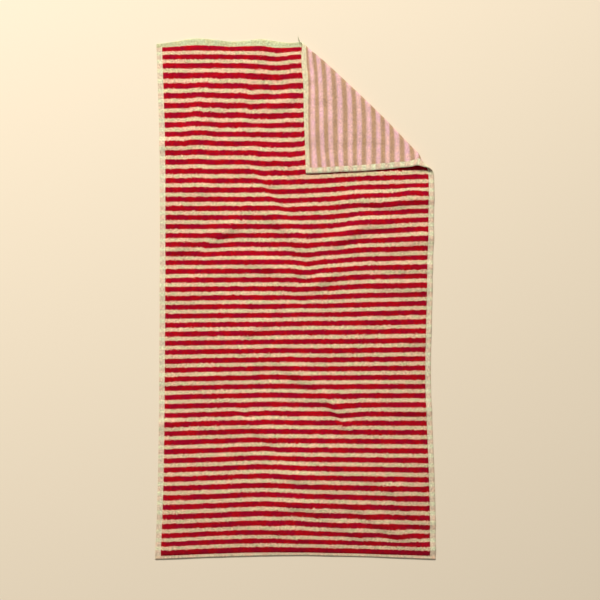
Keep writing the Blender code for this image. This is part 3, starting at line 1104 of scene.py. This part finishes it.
@dataclass(frozen=True)
class ThreadEnd:
    """A short dark thread rooted in the top hem, standing out past it where the corner is turned."""

    shell: ClothShell
    root: tuple[float, float] = (0.0125, 0.7250)
    way: tuple[tuple[float, float, float], ...] = (
        (0.0, -0.004, 0.0), (-0.001, 0.004, 0.0012), (-0.0035, 0.010, 0.0020),
        (-0.0050, 0.016, 0.0016), (-0.0035, 0.021, 0.0008),
    )
    thickness: float = 0.0011
    rings: int = 14
    sides: int = 8

    def build(self, material: bpy.types.Material) -> bpy.types.Object:
        """Run a tapering thread through the points of its way, from its root in the hem.

        Args:
            material: The thread's material.

        Returns:
            The thread's object.
        """
        root = self.shell.skins(np.array(self.root[0]), np.array(self.root[1]))[1]
        way = np.array(self.way)
        share = np.linspace(0.0, 1.0, self.rings + 2)
        marks = np.linspace(0.0, 1.0, len(way))
        line = np.stack(
            [along_knots(share, tuple(zip(marks, way[:, axis]))) for axis in range(3)], axis=-1
        ) + root
        run = np.gradient(line, axis=0)
        beside = unit(np.cross(np.array((0.0, 0.0, 1.0)), run))
        radius = self.thickness * (1 - share[1:-1] ** 2)
        points = thread_points(line, beside, unit(np.cross(run, beside)), radius, self.sides)
        return mesh_object("thread_end", points, spindle_faces(self.rings, self.sides), [material])


# A colour mix has several sockets of one name, so they are taken by number.
MIX_FACTOR, MIX_FIRST, MIX_SECOND, MIX_RESULT = 0, 6, 7, 2


class Wiring:
    """Adds shader nodes to one tree and joins their sockets."""

    def __init__(self, tree: bpy.types.NodeTree) -> None:
        """Keep the tree that the nodes go into."""
        self.tree = tree

    def node(self, kind: str, inputs: dict[str | int, object], **settings: object) -> bpy.types.Node:
        """Add a node.

        Args:
            kind: The node's type name.
            inputs: A value or another node's output for each input, by name or number.
            settings: The node's own settings.

        Returns:
            The node.
        """
        node = self.tree.nodes.new(kind)
        for name, value in settings.items():
            setattr(node, name, value)
        for name, value in inputs.items():
            if isinstance(value, Socket):
                self.tree.links.new(value, node.inputs[name])
            else:
                node.inputs[name].default_value = value
        return node

    def group(self, tree: bpy.types.NodeTree, inputs: dict[str, object]) -> bpy.types.bpy_prop_collection:
        """Add a node group and hand over its outputs."""
        return self.node("ShaderNodeGroup", inputs, node_tree=tree).outputs

    def step(self, operation: str, *values: object, clamp: bool = False) -> Socket:
        """One step of arithmetic on numbers; clamp keeps the result from 0 to 1."""
        node = self.node("ShaderNodeMath", dict(enumerate(values)), operation=operation, use_clamp=clamp)
        return node.outputs[0]

    def vector(self, operation: str, *values: object) -> Socket:
        """One step of arithmetic on vectors.

        Args:
            operation: The step's name.
            values: The vectors; scaling takes one vector and a number.

        Returns:
            The resulting vector.
        """
        inputs = dict(enumerate(values))
        if operation == "SCALE":
            inputs = {0: values[0], "Scale": values[1]}
        return self.node("ShaderNodeVectorMath", inputs, operation=operation).outputs[0]

    def blend(self, share: object, first: object, second: object) -> Socket:
        """Colour that goes from first to second as share goes from 0 to 1."""
        inputs = {MIX_FACTOR: share, MIX_FIRST: first, MIX_SECOND: second}
        return self.node("ShaderNodeMix", inputs, data_type="RGBA").outputs[MIX_RESULT]

    def noise(self, place: object, scale: object, detail: float = 2.0) -> Socket:
        """Soft noise in the plane of the cloth, about one half on average."""
        inputs = {"Vector": place, "Scale": scale, "Detail": detail}
        return self.node("ShaderNodeTexNoise", inputs, noise_dimensions="2D").outputs[0]


def solid(colour: Colour) -> tuple[float, float, float, float]:
    """Colour with full cover, as sockets take it."""
    return (*colour, 1.0)


class GroupMaker:
    """Starts a shader node group, with its sockets made and its inner ends ready to join."""

    def __init__(self, name: str, inputs: dict[str, str], outputs: dict[str, str]) -> None:
        """Make the group.

        Args:
            name: The group's name.
            inputs: Kind of each input socket by its name.
            outputs: Kind of each output socket by its name.
        """
        self.tree = bpy.data.node_groups.new(name, "ShaderNodeTree")
        for socket, kind in inputs.items():
            self.tree.interface.new_socket(socket, in_out="INPUT", socket_type=f"NodeSocket{kind}")
        for socket, kind in outputs.items():
            self.tree.interface.new_socket(socket, in_out="OUTPUT", socket_type=f"NodeSocket{kind}")
        self.wiring = Wiring(self.tree)
        self.given = self.wiring.node("NodeGroupInput", {}).outputs

    def close(self, results: dict[str | int, Socket]) -> bpy.types.NodeTree:
        """Join the results to the group's outputs and hand over the finished group."""
        self.wiring.node("NodeGroupOutput", results)
        return self.tree


# Loops: how far each strays from even lines, and how steeply it falls off from its middle.
LOOP_STRAY = 0.85
LOOP_FALL = 1.6
# A red row's edges: soft waves and single loops, each as noise with a scale and a detail. Single loops
# stand out of the edge by their share, and the middle brings the sum back to nothing on average.
EDGE_WAVES = (60.0, 4.0)
EDGE_LOOPS = (330.0, 1.0)
EDGE_LOOP_SHARE = 2.4
EDGE_MIDDLE = -1.7
# Noise from which the second dye starts to show, and from which it shows alone.
SECOND_DYE_FROM, SECOND_DYE_FULL = 0.36, 0.64


@dataclass(frozen=True)
class ClothGroups:
    """The shader node groups that the cloth's finishes share, each built once."""

    loops: bpy.types.NodeTree
    rows: bpy.types.NodeTree
    cotton: bpy.types.NodeTree
    weave: bpy.types.NodeTree

    @classmethod
    def make(cls) -> "ClothGroups":
        """Build each group once."""
        return cls(cls._loops(), cls._rows(), cls._cotton(), cls._weave())

    @staticmethod
    def _loops() -> bpy.types.NodeTree:
        """Terry loops: one rounded cell for each loop, with its root's place, height and own tint.

        The height is one minus a multiple of the squared distance from the loop's middle, in loop widths.

        Returns:
            The group.
        """
        group = GroupMaker(
            "terry_loops",
            {"Cloth": "Vector", "Loop Width": "Float", "Loop Length": "Float"},
            {"Root": "Vector", "Height": "Float", "Tint": "Float"},
        )
        wire, given = group.wiring, group.given
        size = wire.node("ShaderNodeCombineXYZ", {0: given["Loop Width"], 1: given["Loop Length"], 2: 1.0})
        place = wire.vector("DIVIDE", given["Cloth"], size.outputs[0])
        cells = wire.node(
            "ShaderNodeTexVoronoi",
            {"Vector": place, "Scale": 1.0, "Randomness": LOOP_STRAY},
            voronoi_dimensions="2D",
        ).outputs
        root = wire.vector("MULTIPLY", cells["Position"], size.outputs[0])
        fall = wire.step("POWER", cells["Distance"], 2.0)
        height = wire.step("SUBTRACT", 1.0, wire.step("MULTIPLY", fall, LOOP_FALL), clamp=True)
        tint = wire.node("ShaderNodeSeparateColor", {0: cells["Color"]}).outputs[0]
        return group.close({"Root": root, "Height": height, "Tint": tint})

    @staticmethod
    def _rows() -> bpy.types.NodeTree:
        """Red rows across the cloth: one within half a row's share of its middle, none outside.

        A row's number is its distance from the first row's middle over the pitch. Noise moves the place
        along the cloth, softly and loop by loop, so each row's edges waver and fray. Halo falls from one
        at a row's edge to nothing at the halo's reach.

        Returns:
            The group.
        """
        group = GroupMaker(
            "red_rows",
            {
                "Cloth": "Vector", "Cloth Length": "Float", "First": "Float", "Pitch": "Float",
                "Count": "Float", "Red Share": "Float", "Softness": "Float", "Waver": "Float",
                "Halo Reach": "Float",
            },
            {"Row": "Float", "Halo": "Float"},
        )
        wire, given = group.wiring, group.given
        along = wire.node("ShaderNodeSeparateXYZ", {0: given["Cloth"]}).outputs[1]
        single = wire.noise(given["Cloth"], *EDGE_LOOPS)
        fray = wire.step("MULTIPLY_ADD", single, EDGE_LOOP_SHARE, EDGE_MIDDLE)
        drift = wire.step("ADD", wire.noise(given["Cloth"], *EDGE_WAVES), fray)
        along = wire.step("MULTIPLY_ADD", drift, given["Waver"], along)
        from_top = wire.step("SUBTRACT", given["Cloth Length"], along)
        number = wire.step("DIVIDE", wire.step("SUBTRACT", from_top, given["First"]), given["Pitch"])
        number = wire.step("ADD", number, 0.5)
        off = wire.step("ABSOLUTE", wire.step("SUBTRACT", wire.step("FRACT", number), 0.5))
        inside = wire.step("SUBTRACT", wire.step("MULTIPLY", given["Red Share"], 0.5), off)
        row = wire.step("DIVIDE", inside, given["Softness"])
        row = wire.step("ADD", row, 0.5, clamp=True)
        past_first = wire.step("GREATER_THAN", number, 0.0)
        counted = wire.step("MULTIPLY", past_first, wire.step("LESS_THAN", number, given["Count"]))
        halo = wire.step("DIVIDE", inside, given["Halo Reach"])
        halo = wire.step("ADD", halo, 1.0, clamp=True)
        return group.close({
            "Row": wire.step("MULTIPLY", row, counted),
            "Halo": wire.step("MULTIPLY", halo, counted),
        })

    @staticmethod
    def _cotton() -> bpy.types.NodeTree:
        """Dyed cotton: its colour drifting to a second one in patches, with several sizes of uneven tone.

        The tone is the product of each loop's own, that of small clumps of loops, that of the broader
        nap, and one plus the painted shade and light of the patches.

        Returns:
            The group.
        """
        group = GroupMaker(
            "cotton_mottle",
            {
                "Cloth": "Vector", "Base": "Color", "Patch": "Color", "Patch Size": "Float",
                "Tint": "Float", "Tint Depth": "Float", "Clump Size": "Float", "Clump Depth": "Float",
                "Nap Size": "Float", "Nap Depth": "Float", "Painted Shade And Light": "Float",
            },
            {"Color": "Color"},
        )
        wire, given = group.wiring, group.given
        patches = wire.noise(given["Cloth"], wire.step("DIVIDE", 1.0, given["Patch Size"]), detail=3.0)
        limits = {"Value": patches, "From Min": SECOND_DYE_FROM, "From Max": SECOND_DYE_FULL}
        share = wire.node("ShaderNodeMapRange", limits).outputs[0]
        colour = wire.blend(share, given["Base"], given["Patch"])
        off = wire.step("SUBTRACT", given["Tint"], 0.5)
        tone = wire.step("MULTIPLY_ADD", off, given["Tint Depth"], 1.0)
        # Painted shade and light of the patches, multiplied into the tone.
        tone = wire.step("MULTIPLY", tone, wire.step("ADD", given["Painted Shade And Light"], 1.0))
        for size, depth in (("Clump Size", "Clump Depth"), ("Nap Size", "Nap Depth")):
            soft = wire.noise(given["Cloth"], wire.step("DIVIDE", 1.0, given[size]))
            soft = wire.step("SUBTRACT", soft, 0.5)
            tone = wire.step("MULTIPLY", tone, wire.step("MULTIPLY_ADD", soft, given[depth], 1.0))
        return group.close({"Color": wire.vector("SCALE", colour, tone)})

    @staticmethod
    def _weave() -> bpy.types.NodeTree:
        """Plain weave: the product of one wave for each thread direction, from 0 to 1.

        Returns:
            The group.
        """
        group = GroupMaker("plain_weave", {"Cloth": "Vector", "Thread Pitch": "Float"}, {"Height": "Float"})
        wire, given = group.wiring, group.given
        turns = wire.step("DIVIDE", 2 * pi, given["Thread Pitch"])
        place = wire.node("ShaderNodeSeparateXYZ", {0: wire.vector("SCALE", given["Cloth"], turns)}).outputs
        wave = wire.step("MULTIPLY", wire.step("SINE", place[0]), wire.step("SINE", place[1]))
        return group.close({"Height": wire.step("MULTIPLY_ADD", wave, 0.5, 0.5)})


@dataclass(frozen=True)
class ClothDyes:
    """The colours in one layer of the cloth: in its red rows and between them, each with its patches.

    The halo is what the ground takes on beside a row: partly loops of both colours mixing, partly painted
    light, a lighter pink standing in for light bounced off the red loops.
    """

    row: Colour
    row_patch: Colour
    ground: Colour
    ground_patch: Colour
    halo: Colour

    @classmethod
    def plain(cls, ground: Colour, patch: Colour) -> "ClothDyes":
        """Dyes of a band that shows no rows."""
        return cls(ground, ground, ground, patch, ground)


@dataclass(frozen=True)
class Mottle:
    """How uneven dyed cotton is: its patches of dye, and the tones of its loops, clumps and nap."""

    patch_size: float = 0.022
    tint_depth: float = 0.55
    clump_size: float = 0.0055
    clump_depth: float = 0.80
    nap_size: float = 0.070
    nap_depth: float = 0.30

    def colour(
        self, wire: Wiring, groups: ClothGroups, place: Socket, tint: Socket,
        base: Colour, patch: Colour, lean: object = 0.0,
    ) -> Socket:
        """Colour of cotton at a place.

        Args:
            wire: The material's wiring.
            groups: The shared node groups.
            place: Place in the cloth.
            tint: Tone of each loop or thread, from 0 to 1.
            base: The cotton's dye.
            patch: The dye that it drifts to in patches.
            lean: Painted shade and light of the patches, added to one and multiplied into the colour; below
                nothing darkens, above lightens.

        Returns:
            The colour.
        """
        inputs = {
            "Cloth": place, "Base": solid(base), "Patch": solid(patch), "Patch Size": self.patch_size,
            "Tint": tint, "Tint Depth": self.tint_depth, "Clump Size": self.clump_size,
            "Clump Depth": self.clump_depth, "Nap Size": self.nap_size, "Nap Depth": self.nap_depth,
            "Painted Shade And Light": lean,
        }
        return wire.group(groups.cotton, inputs)["Color"]


@dataclass(frozen=True)
class CottonShader:
    """How cotton takes light: dull, with a faint bloom at a slant."""

    roughness: float = 0.94
    specular: float = 0.05
    sheen: float = 0.04
    sheen_roughness: float = 0.5

    def place(self, wire: Wiring, colour: Socket, height: Socket, relief: float) -> None:
        """Join colour and height to a Principled shader and the material's output.

        Args:
            wire: The material's wiring.
            colour: Colour over the surface.
            height: Height over the surface, from 0 to 1.
            relief: What a height of 1 stands for, in metres.
        """
        bump = wire.node("ShaderNodeBump", {"Height": height, "Distance": relief, "Strength": 1.0})
        shader = wire.node(
            "ShaderNodeBsdfPrincipled",
            {
                "Base Color": colour, "Roughness": self.roughness, "Normal": bump.outputs[0],
                "Specular IOR Level": self.specular, "Sheen Weight": self.sheen,
                "Sheen Roughness": self.sheen_roughness,
            },
        )
        wire.node("ShaderNodeOutputMaterial", {"Surface": shader.outputs[0]})


def new_material(name: str, display: Colour) -> tuple[bpy.types.Material, Wiring]:
    """Start an empty node material.

    Args:
        name: The material's name.
        display: Its plain colour outside renders.

    Returns:
        The material and the wiring of its tree.
    """
    material = bpy.data.materials.new(name)
    material.use_nodes = True
    material.node_tree.nodes.clear()
    material.diffuse_color = solid(display)
    return material, Wiring(material.node_tree)


@dataclass(frozen=True)
class StripedFinish(ABC):
    """What every striped layer shares: its dyes, how its rows end, and how uneven it is."""

    name: str
    dyes: ClothDyes
    red_share: float
    softness: float
    waver: float
    halo_reach: float = 0.13
    halo_strength: float = 0.45
    # Depth of the painted shade that darkens the colour in the hollows between loops.
    hollow_shade_depth: float = 0.30
    relief: float = 0.0007
    mottle: Mottle = Mottle()
    shader: CottonShader = CottonShader()

    @abstractmethod
    def surface(self, wire: Wiring, groups: ClothGroups, place: Socket) -> tuple[Socket, Socket, Socket]:
        """Where each place takes its colour from, its height, and the tone of its loop or thread."""

    def lean(self, wire: Wiring) -> object:
        """Painted shade and light of the patches over the layer; a layer without pile has none."""
        return 0.0

    def make(self, groups: ClothGroups, plan: StripePlan, cloth: ClothSizes) -> bpy.types.Material:
        """Make the layer's material.

        Rows and colour are read at the root that the surface gives to each place: the rows' dye where
        their mask is one, and the ground's where it is none, with the halo beside the rows. The colour
        takes the painted shade and light of the patches, and it is darkened where the height falls off:
        painted shade in the hollows between loops and threads.

        Args:
            groups: The shared node groups.
            plan: The woven stripes.
            cloth: The cloth's sizes.

        Returns:
            The material.
        """
        material, wire = new_material(self.name, self.dyes.ground)
        place = wire.node("ShaderNodeUVMap", {}, uv_map=CLOTH_MAP).outputs[0]
        root, height, tint = self.surface(wire, groups, place)
        rows = wire.group(groups.rows, {
            "Cloth": root, "Cloth Length": cloth.length, "First": plan.first,
            "Pitch": plan.pitch(cloth), "Count": float(plan.count), "Red Share": self.red_share,
            "Softness": self.softness, "Waver": self.waver, "Halo Reach": self.halo_reach,
        })
        # lean carries the painted shade and light of the patches.
        dyes, lean = self.dyes, self.lean(wire)
        ground = self.mottle.colour(wire, groups, root, tint, dyes.ground, dyes.ground_patch, lean)
        row = self.mottle.colour(wire, groups, root, tint, dyes.row, dyes.row_patch, lean)
        # The halo: partly mixed loops, partly painted light beside each row.
        mixed = wire.step("MULTIPLY", rows["Halo"], self.halo_strength)
        colour = wire.blend(rows["Row"], wire.blend(mixed, ground, solid(dyes.halo)), row)
        # Painted shade: the colour darkened where the height falls off, in the hollows between loops and
        # threads.
        hollow_painted_shade = wire.step("MULTIPLY_ADD", height, self.hollow_shade_depth, 1.0 - self.hollow_shade_depth)
        self.shader.place(wire, wire.vector("SCALE", colour, hollow_painted_shade), height, self.relief)
        return material


@dataclass(frozen=True)
class TerryFinish(StripedFinish):
    """Looped pile: every loop has one colour, so rows end on whole loops."""

    loop_width: float = 0.0019
    loop_length: float = 0.0016

    def surface(self, wire: Wiring, groups: ClothGroups, place: Socket) -> tuple[Socket, Socket, Socket]:
        """Root, height and tone of the loop at each place."""
        sizes = {"Loop Width": self.loop_width, "Loop Length": self.loop_length}
        loops = wire.group(groups.loops, {"Cloth": place, **sizes})
        return loops["Root"], loops["Height"], loops["Tint"]

    def lean(self, wire: Wiring) -> object:
        """The painted shade and light that the mesh carries."""
        return wire.node("ShaderNodeAttribute", {}, attribute_name=PAINTED_SHADE_AND_LIGHT_VALUE).outputs["Fac"]


@dataclass(frozen=True)
class WovenFinish(StripedFinish):
    """Flat woven bands: threads crossing, with the rows' dye showing only in the selvages."""

    red_share: float = 0.52
    softness: float = 0.12
    waver: float = 0.0010
    # Depth of the painted shade between the threads.
    hollow_shade_depth: float = 0.16
    relief: float = 0.0003
    thread_pitch: float = 0.0013
    threads_in_a_tone: float = 3.0

    def surface(self, wire: Wiring, groups: ClothGroups, place: Socket) -> tuple[Socket, Socket, Socket]:
        """The place itself, the weave's height there, and a tone for every few threads."""
        weave = wire.group(groups.weave, {"Cloth": place, "Thread Pitch": self.thread_pitch})
        tint = wire.noise(place, 1 / (self.threads_in_a_tone * self.thread_pitch), detail=1.0)
        return place, weave["Height"], tint


FACE_TERRY = TerryFinish(
    name="face_terry",
    dyes=ClothDyes(
        row=(0.465, 0.0016, 0.008), row_patch=(0.362, 0.0006, 0.019),
        ground=(0.888, 0.616, 0.388), ground_patch=(0.735, 0.680, 0.360),
        halo=(0.980, 0.480, 0.370),
    ),
    red_share=0.592, softness=0.02, waver=0.0029, halo_strength=0.75,
    mottle=Mottle(patch_size=0.026, nap_depth=0.15),
)
BACK_TERRY = TerryFinish(
    name="back_terry",
    dyes=ClothDyes(
        row=(0.900, 0.545, 0.480), row_patch=(0.870, 0.510, 0.560),
        ground=(0.510, 0.310, 0.200), ground_patch=(0.550, 0.335, 0.185),
        halo=(0.640, 0.400, 0.300),
    ),
    red_share=0.47, softness=0.22, waver=0.0016, mottle=Mottle(tint_depth=0.30, clump_depth=0.40),
)
SELVAGES = WovenFinish(
    name="woven_selvage",
    dyes=ClothDyes(
        row=(0.800, 0.580, 0.410), row_patch=(0.740, 0.600, 0.430),
        ground=(0.800, 0.740, 0.490), ground_patch=(0.740, 0.750, 0.500),
        halo=(0.790, 0.640, 0.450),
    ),
)
TOP_HEM = WovenFinish(
    name="top_hem",
    dyes=ClothDyes(
        row=(0.560, 0.550, 0.310), row_patch=(0.560, 0.550, 0.310),
        ground=(0.570, 0.545, 0.300), ground_patch=(0.550, 0.590, 0.360),
        halo=(0.570, 0.545, 0.300),
    ),
)
FOOT_HEM = WovenFinish("foot_hem", ClothDyes.plain((0.900, 0.620, 0.420), (0.760, 0.660, 0.440)))
HEM_BACK = WovenFinish("hem_back", ClothDyes.plain((0.790, 0.660, 0.440), (0.740, 0.690, 0.450)))
FINISHES: dict[Layer, TerryFinish | WovenFinish] = {
    Layer.FACE_PILE: FACE_TERRY, Layer.BACK_PILE: BACK_TERRY, Layer.SELVAGE: SELVAGES,
    Layer.TOP_HEM: TOP_HEM, Layer.FOOT_HEM: FOOT_HEM, Layer.HEM_BACK: HEM_BACK,
}


@dataclass(frozen=True)
class ThreadFinish:
    """Sewing thread: dyed cotton in small uneven tones, with the ridges of its twist."""

    name: str
    dye: Colour
    dye_patch: Colour
    mottle: Mottle = Mottle(
        patch_size=0.009, tint_depth=0.35, clump_size=0.0012, clump_depth=0.50, nap_size=0.040,
        nap_depth=0.20,
    )
    twist: float = 0.0008
    relief: float = 0.0002
    shader: CottonShader = CottonShader(roughness=0.75, specular=0.15, sheen=0.10)

    def make(self, groups: ClothGroups) -> bpy.types.Material:
        """Make the thread's material.

        Colour drifts over the towel's plane, and small ridges stand at the pitch of the twist.

        Args:
            groups: The shared node groups.

        Returns:
            The material.
        """
        material, wire = new_material(self.name, self.dye)
        place = wire.node("ShaderNodeTexCoord", {}).outputs["Object"]
        tint = wire.noise(place, 1 / self.mottle.clump_size)
        colour = self.mottle.colour(wire, groups, place, tint, self.dye, self.dye_patch)
        ridges = wire.group(groups.weave, {"Cloth": place, "Thread Pitch": self.twist})["Height"]
        self.shader.place(wire, colour, ridges, self.relief)
        return material


HEM_THREAD = ThreadFinish("hem_thread", (0.680, 0.570, 0.370), (0.600, 0.580, 0.360))
TAIL_THREAD = ThreadFinish("tail_thread", (0.400, 0.400, 0.230), (0.300, 0.330, 0.190))


@dataclass(frozen=True)
class FloorFinish:
    """Plain pale floor."""

    name: str = "pale_floor"
    colour: Colour = (0.760, 0.665, 0.520)
    roughness: float = 0.95
    specular: float = 0.1

    def make(self) -> bpy.types.Material:
        """Make the floor's material.

        Returns:
            The material.
        """
        material, wire = new_material(self.name, self.colour)
        inputs = {
            "Base Color": solid(self.colour), "Roughness": self.roughness,
            "Specular IOR Level": self.specular,
        }
        shader = wire.node("ShaderNodeBsdfPrincipled", inputs)
        wire.node("ShaderNodeOutputMaterial", {"Surface": shader.outputs[0]})
        return material


@dataclass(frozen=True)
class Studio:
    """Floor, light and camera round the towel."""

    floor_size: float = 8.0
    floor_drop: float = 0.0003
    lamp_place: tuple[float, float, float] = (-1.5, 7.2, 5.3)
    lamp_aim: tuple[float, float, float] = (-4.7, 0.8, 0.0)
    lamp_size: float = 1.8
    lamp_power: float = 1400.0
    lamp_colour: Colour = (1.0, 0.965, 0.91)
    sky_colour: Colour = (1.0, 0.97, 0.93)
    sky_strength: float = 0.25
    lens: float = 50.0
    sensor: float = 36.0
    view_width: float = 1.6732
    view_centre: tuple[float, float] = (0.0131, -0.0036)

    def build(self) -> None:
        """Put up the floor, the lamp, the sky and the camera."""
        self._floor()
        self._lamp()
        self._sky()
        self._camera()
        bpy.context.scene.view_settings.view_transform = "Standard"

    def _floor(self) -> None:
        """Flat square under the towel, out past the view."""
        half = self.floor_size / 2
        corners = np.array(((-half, -half), (half, -half), (half, half), (-half, half)))
        points = np.column_stack((corners, np.full(4, -self.floor_drop)))
        floor = mesh_object("floor", points, np.array(((0, 1, 2, 3),)), [FloorFinish().make()])

    def _lamp(self) -> None:
        """Soft square lamp past the towel's top, a little to the left."""
        light = bpy.data.lights.new("soft_lamp", "AREA")
        light.energy, light.color, light.size = self.lamp_power, self.lamp_colour, self.lamp_size
        lamp = bpy.data.objects.new("soft_lamp", light)
        lamp.location = self.lamp_place
        aim = Vector(self.lamp_aim) - Vector(self.lamp_place)
        lamp.rotation_euler = aim.to_track_quat("-Z", "Y").to_euler()
        bpy.context.scene.collection.objects.link(lamp)

    def _sky(self) -> None:
        """Even light from all round."""
        world = bpy.data.worlds.new("even_light")
        world.use_nodes = True
        background = world.node_tree.nodes["Background"].inputs
        background["Color"].default_value = solid(self.sky_colour)
        background["Strength"].default_value = self.sky_strength
        bpy.context.scene.world = world

    def _camera(self) -> None:
        """Camera straight overhead, at the height where its view is as wide as asked."""
        data = bpy.data.cameras.new("overhead_camera")
        data.lens, data.sensor_width = self.lens, self.sensor
        camera = bpy.data.objects.new("overhead_camera", data)
        height = self.view_width * self.lens / self.sensor
        camera.location = (*self.view_centre, height)
        bpy.context.scene.collection.objects.link(camera)
        bpy.context.scene.camera = camera


def shift_to_box(laid: LaidCloth, corner: TurnedCorner, grid: GridPlan) -> tuple[float, float]:
    """How far the laid cloth moves so that its middle is the middle of its solid's box.

    Args:
        laid: The laid-out cloth.
        corner: Its turned corner.
        grid: The places where it is measured.

    Returns:
        The moves across and along.
    """
    back = corner.place(laid, *grid.points())
    low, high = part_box(NODE)
    middle = (back.min(axis=(0, 1)) + back.max(axis=(0, 1))) / 2
    return tuple(float(low[n] + high[n]) / 2 - float(middle[n]) for n in (0, 1))


def sewn_on(shell: ClothShell, groups: ClothGroups) -> list[bpy.types.Object]:
    """Make the hems' stitching on both sides of the cloth, and the short dark thread past the top hem.

    Args:
        shell: The cloth that they are sewn to.
        groups: The shared node groups.

    Returns:
        The pieces.
    """
    cloth = shell.cloth
    thread = HEM_THREAD.make(groups)
    foot = cloth.bottom_hem - cloth.length / 2
    rows = (
        ("top_hem_stitches_face", cloth.length / 2 - cloth.top_hem, True),
        ("top_hem_stitches_back", cloth.length / 2 - cloth.top_hem_back, False),
        ("foot_hem_stitches_face", foot, True),
        ("foot_hem_stitches_back", foot, False),
    )
    pieces = [HemStitches(shell, name, edge, face).build(thread) for name, edge, face in rows]
    pieces.append(ThreadEnd(shell).build(TAIL_THREAD.make(groups)))
    return pieces


def main() -> None:
    """Build the towel, what is sewn on it and the studio, and report each piece."""
    logging.basicConfig(level=logging.INFO, format="%(name)s: %(message)s")
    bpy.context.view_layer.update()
    cloth, plan = ClothSizes(), StripePlan()
    laid, corner, grid = LaidCloth(cloth), TurnedCorner(cloth), GridPlan(cloth)
    shell = ClothShell(cloth, laid, corner, shift_to_box(laid, corner, grid))

    groups = ClothGroups.make()
    finishes = {layer: finish.make(groups, plan, cloth) for layer, finish in FINISHES.items()}
    towel = TowelCloth(shell, grid).build(finishes)
    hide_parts(NODE)
    sewn = sewn_on(shell, groups)
    for piece in (towel, *sewn):
        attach(piece, "root")
        LOG.info("%s: %d faces", piece.name, len(piece.data.polygons))

    Studio().build()


if __name__ == "__main__":
    main()
